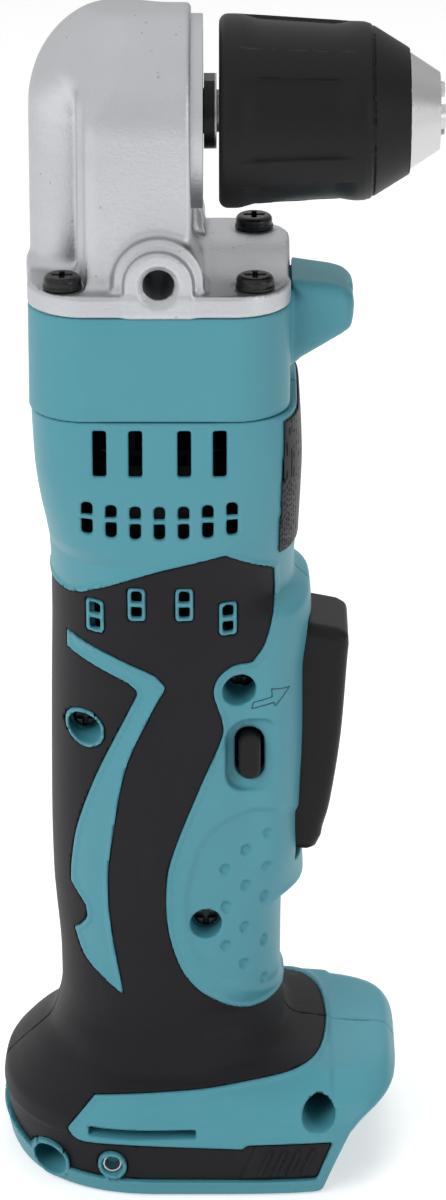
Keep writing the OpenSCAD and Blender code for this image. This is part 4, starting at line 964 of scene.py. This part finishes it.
def trigger_field(x, y, z):
    """Hollow paddle with two arms down to its pin, and room for the switch's plunger."""
    side = PADDLE(x, z)
    reach = np.abs(y)
    solid = round_both(side, reach - PADDLE_HALF, 2.8)
    inside = both(side + 2.4, reach - PADDLE_HALF + 2.6)
    solid = cut(solid, both(inside, x - PADDLE_HOLLOW_X), 0.4)
    solid = round_both(solid, PADDLE_BACK - x, 0.5)
    u, w = x - PIVOT[0], z - PIVOT[1]
    upright = rounded(u, w - 5.3, ARM_R, 5.3, 0.3)
    branch = rounded(u - 2.4, w - 8.4, 5.8, 2.1, 0.3)
    arm = join(disc(u, w, ARM_R), join(upright, branch))
    arm = round_both(arm, slab(reach, 7.6, PADDLE_HALF - 0.1), 0.3)
    room_lo = (26, -PLUNGER_ROOM, PLUNGER_RISE - PLUNGER_ROOM)
    room_hi = (29.2, PLUNGER_ROOM, PLUNGER_RISE + PLUNGER_ROOM)
    solid = cut(join(solid, arm), disc(u, w, PIN_HOLE_R))
    return cut(solid, block(x, y, w, room_lo, room_hi, 0.3))


shape("trigger_paddle", trigger_field, (18, -12, 67), (43, 12, 131), FORM_STEP, "trigger", "black_plastic",
      TRIGGER_BLACK, "trigger")

BUTTON_HALF = (2.5, 5.5)
BUTTON_Y = (17, 23.5)
BAR_LO = (BUTTON[0] - 2.2, -19.5, BUTTON[1] - 2.5)
BAR_HI = (BUTTON[0] + 2.2, 19.5, BUTTON[1] + 2.5)
FINGER_LO = (BUTTON[0] - 6, -1.5, 98.3)
FINGER_HI = (BUTTON[0], 1.5, BUTTON[1])


def button_field(x, y, z):
    """Direction button: one capsule each side on a common bar, with a finger to the switch."""
    side = np.abs(y)
    face = rounded(x - BUTTON[0], z - BUTTON[1], *BUTTON_HALF, BUTTON_HALF[0])
    cap = round_both(round_both(face, side - BUTTON_Y[1], 1.1), BUTTON_Y[0] - side, 0.3)
    bar = block(x, y, z, BAR_LO, BAR_HI, 0.4)
    finger = block(x, y, z, FINGER_LO, FINGER_HI, 0.3)
    return join(join(cap, bar, 0.5), finger, 0.5)


shape("direction_button", button_field, (13, -25, 96), (24, 25, 110), TRIM_STEP, "lever", "black_plastic",
      TRIGGER_BLACK, "direction_lever")

# Screws with a cross recess
CROSS_HALF = (0.55, 2.3)
CROSS_DEPTH = 1.5
FLANGE_HEAD = (4.1, 2.3)
WASHER_R, WASHER_T = 4.35, 0.7
HOUSING_HEAD = (2.9, 2.2)


def screw_head_field(u, v, w, r, h):
    """Pan head along +W from 0, a cross recess in its top."""
    head = round_both(round_both(disc(u, v, r), w - h, 1.1), -w, 0.15)
    arm_u = both(np.abs(u) - CROSS_HALF[0], np.abs(v) - CROSS_HALF[1])
    arm_v = both(np.abs(v) - CROSS_HALF[0], np.abs(u) - CROSS_HALF[1])
    return cut(head, both(join(arm_u, arm_v, 0.3), h - CROSS_DEPTH - w), 0.2)


def flange_screw_field(x, y, z):
    d = np.full(np.shape(x), FAR)
    for sx, sy in SCREW_AT:
        head = screw_head_field(x - sx, y - sy, z - HEAD_Z - 0.6, *FLANGE_HEAD)
        washer = round_both(disc(x - sx, y - sy, WASHER_R), slab(z, HEAD_Z, HEAD_Z + WASHER_T), 0.2)
        d = join(d, join(head, washer))
    return d


def housing_screw_field(x, y, z):
    """Heads on the floors of the recesses in the right half."""
    d = np.full(np.shape(x), FAR)
    for (sx, sz), _, seat in SCREW_RECESSES:
        d = join(d, screw_head_field(x - sx, z - sz, -y - seat + 0.1, *HOUSING_HEAD))
    return d


shape("housing_screw_heads", housing_screw_field, (-21, -20, 15), (40, -11, 124), SCREW_STEP, "housing",
      "black_steel", OXIDE, "housing_screws")
shape("flange_screw_heads", flange_screw_field, (-26, -26, HEAD_Z), (26, 26, HEAD_Z + 3), SCREW_STEP,
      "housing", "black_steel", OXIDE, "flange_screws")

# Small pieces: the spindle's rear bush, the belt hook's inserts, the line round the arrow in darker teal as
# painted shade
BUSH_R, BUSH_BORE = 7, 5.06
BUSH_X = (-24, -18.6)
INSERT_R, INSERT_BORE = 2.35, 1.65
INSERT_Y = (32.6, 36.6)
LINE_HALF, LINE_DEPTH = 0.17, 0.2


def bush_field(x, y, z):
    """Rear bush of the spindle, inside the column."""
    r = disc(y, z - SPINDLE_Z, 0)
    return both(both(r - BUSH_R, BUSH_BORE - r), slab(x, *BUSH_X), 0.3)


def insert_field(x, y, z):
    """Threaded inserts for a belt hook, sunk in their rims."""
    r = disc(x - HOOK[0], z - HOOK[1], 0)
    return both(both(r - INSERT_R, INSERT_BORE - r), slab(np.abs(y), *INSERT_Y), 0.3)


def arrow_field(x, y, z):
    """Fine line round the arrow beside the button, the way the tool drives forward; its darker teal is
    painted shade standing for the edge of the moulded arrow.
    """
    skin = body_field(x, y, z)
    return both(both(np.abs(ARROW(x, z)) - LINE_HALF, np.abs(skin + 0.12) - LINE_DEPTH), y)


shape("rear_bush", bush_field, (-24, -7, SPINDLE_Z - 7), (-18, 7, SPINDLE_Z + 7), TRIM_STEP, "housing",
      "bronze", BRONZE, "spindle_rear_bush")
shape("hook_thread_inserts", insert_field, (-14, -37, 4), (-8, 37, 10), SCREW_STEP, "housing", "steel", STEEL,
      "hook_inserts")
# The line round the arrow is teal darkened as painted shade
shape("arrow_line", arrow_field, (19.5, -27, 113.5), (30, -12, 120.5), LINE_STEP, "housing", "teal",
      SHADED_TEAL)

# Frame pieces that keep their shape
KEPT = {
    ALLOY: ["bearing_retainer"],
    STEEL: ["chuck_body", "jaw_a", "jaw_b", "jaw_c", "jaw_nut", "trigger_pin", "motor_shaft"],
    SPINDLE: ["spindle"],
    GEAR_STEEL: ["spindle_bearing_outer", "spindle_bearing_inner", "bevel_wheel", "bevel_pinion",
                 "pinion_bearing_outer", "pinion_bearing_inner", "planet_carrier", "planet_pins", "planet_a",
                 "planet_b", "planet_c", "ring_gear", "sun_gear", "motor_front_bearing"],
    MOTOR_STEEL: ["motor_can", "motor_magnets", "armature_core"],
    OXIDE: ["chuck_screw"],
    BRONZE: ["motor_rear_bush", "battery_terminals"],
    COPPER: ["armature_windings", "commutator"],
    BOARD: ["led_board", "control_board"],
    RUBBER: ["spindle_seal"],
    DARK_PLASTIC: ["switch_body", "switch_plunger", "brush_holder", "carbon_brushes", "cooling_fan",
                   "terminal_block"],
}
for material, names in KEPT.items():
    for name in names:
        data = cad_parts[name].data
        data.materials.clear()
        data.materials.append(material)


# Floor, light and camera
def floor():
    p = paint("pale_floor")
    grain = p.noise(8, 2)
    colour = p.blend(grain, rgb(0.86, 0.86, 0.86), rgb(0.88, 0.88, 0.88))
    lit = p.node("BsdfDiffuse", sockets={"Color": colour})
    glow = p.node("Emission", sockets={"Color": rgb(1, 1, 1), "Strength": 0.5})
    bright = p.node("AddShader", sockets={0: lit, 1: glow})
    mixed = p.node("MixShader", sockets={0: p.seen(), 1: lit, 2: bright})
    p.node("OutputMaterial", sockets={"Surface": mixed})
    bpy.ops.mesh.primitive_plane_add(size=12, location=(0, 2, -0.0004))
    plane = bpy.context.object
    plane.name = "floor"
    plane.data.materials.append(p.owner)


def area_lamp(name, at, aim, size, power, mirrored_by_metal=True):
    lamp = bpy.data.lights.new(name, "AREA")
    lamp.shape, lamp.size, lamp.energy = "DISK", size, power
    holder = bpy.data.objects.new(name, lamp)
    bpy.context.scene.collection.objects.link(holder)
    holder.location = at
    holder.visible_glossy = mirrored_by_metal
    direction = np.array(aim) - np.array(at)
    pitch = math.atan2(math.hypot(direction[0], direction[1]), -direction[2])
    holder.rotation_euler = (pitch, 0, math.atan2(-direction[0], direction[1]))


def studio():
    """White room with a weak light of its own, darker low and to the right in mirrors; three soft lamps."""
    bpy.context.scene.world = bpy.data.worlds.new("studio")
    p = Paint(bpy.context.scene.world)
    dim, dark, soft, white = [p.node("Background", sockets={"Color": rgb(1, 1, 1), "Strength": v})
                              for v in (0.32, 0.17, 0.92, 1)]
    way = p.node("TexCoord", out="Generated")
    across, up = [p.node("SeparateXYZ", sockets={"Vector": way}, out=axis) for axis in ("X", "Z")]
    bright = p.node("Clamp", sockets={0: 0.55 - 0.5*across + 0.7*up})
    mirror = p.node("MixShader", sockets={0: bright, 1: dark, 2: soft})
    lit = p.node("MixShader", sockets={0: p.ray("Glossy"), 1: dim, 2: mirror})
    plain = p.node("Clamp", sockets={0: p.ray("Camera") + p.ray("Transmission")})
    p.node("OutputWorld", sockets={"Surface": p.node("MixShader", sockets={0: plain, 1: lit, 2: white})})
    area_lamp("key", (-0.75, -0.85, 0.95), (0, 0, 0.14), 1.1, 9, False)
    area_lamp("fill", (0.9, -0.7, 0.45), (0, 0, 0.14), 0.6, 2)
    area_lamp("top", (0.1, 0.35, 1.1), (0, 0, 0.2), 0.6, 4, False)


CAMERA_AIM = (0.0140, 0.0, 0.1319)
CAMERA_AWAY = 1.2
CAMERA_RISE = math.radians(22)
LENS_MM = 158.4
SENSOR_MM = 36


def camera():
    data = bpy.data.cameras.new("camera")
    data.sensor_width, data.lens = SENSOR_MM, LENS_MM
    data.clip_start, data.clip_end = 0.05, 50
    holder = bpy.data.objects.new("camera", data)
    bpy.context.scene.collection.objects.link(holder)
    holder.location = (CAMERA_AIM[0], CAMERA_AIM[1] - CAMERA_AWAY*math.cos(CAMERA_RISE),
                       CAMERA_AIM[2] + CAMERA_AWAY*math.sin(CAMERA_RISE))
    holder.rotation_euler = (math.pi/2 - CAMERA_RISE, 0, 0)
    bpy.context.scene.camera = holder


floor()
studio()
camera()
bpy.context.scene.view_settings.view_transform = "Standard"
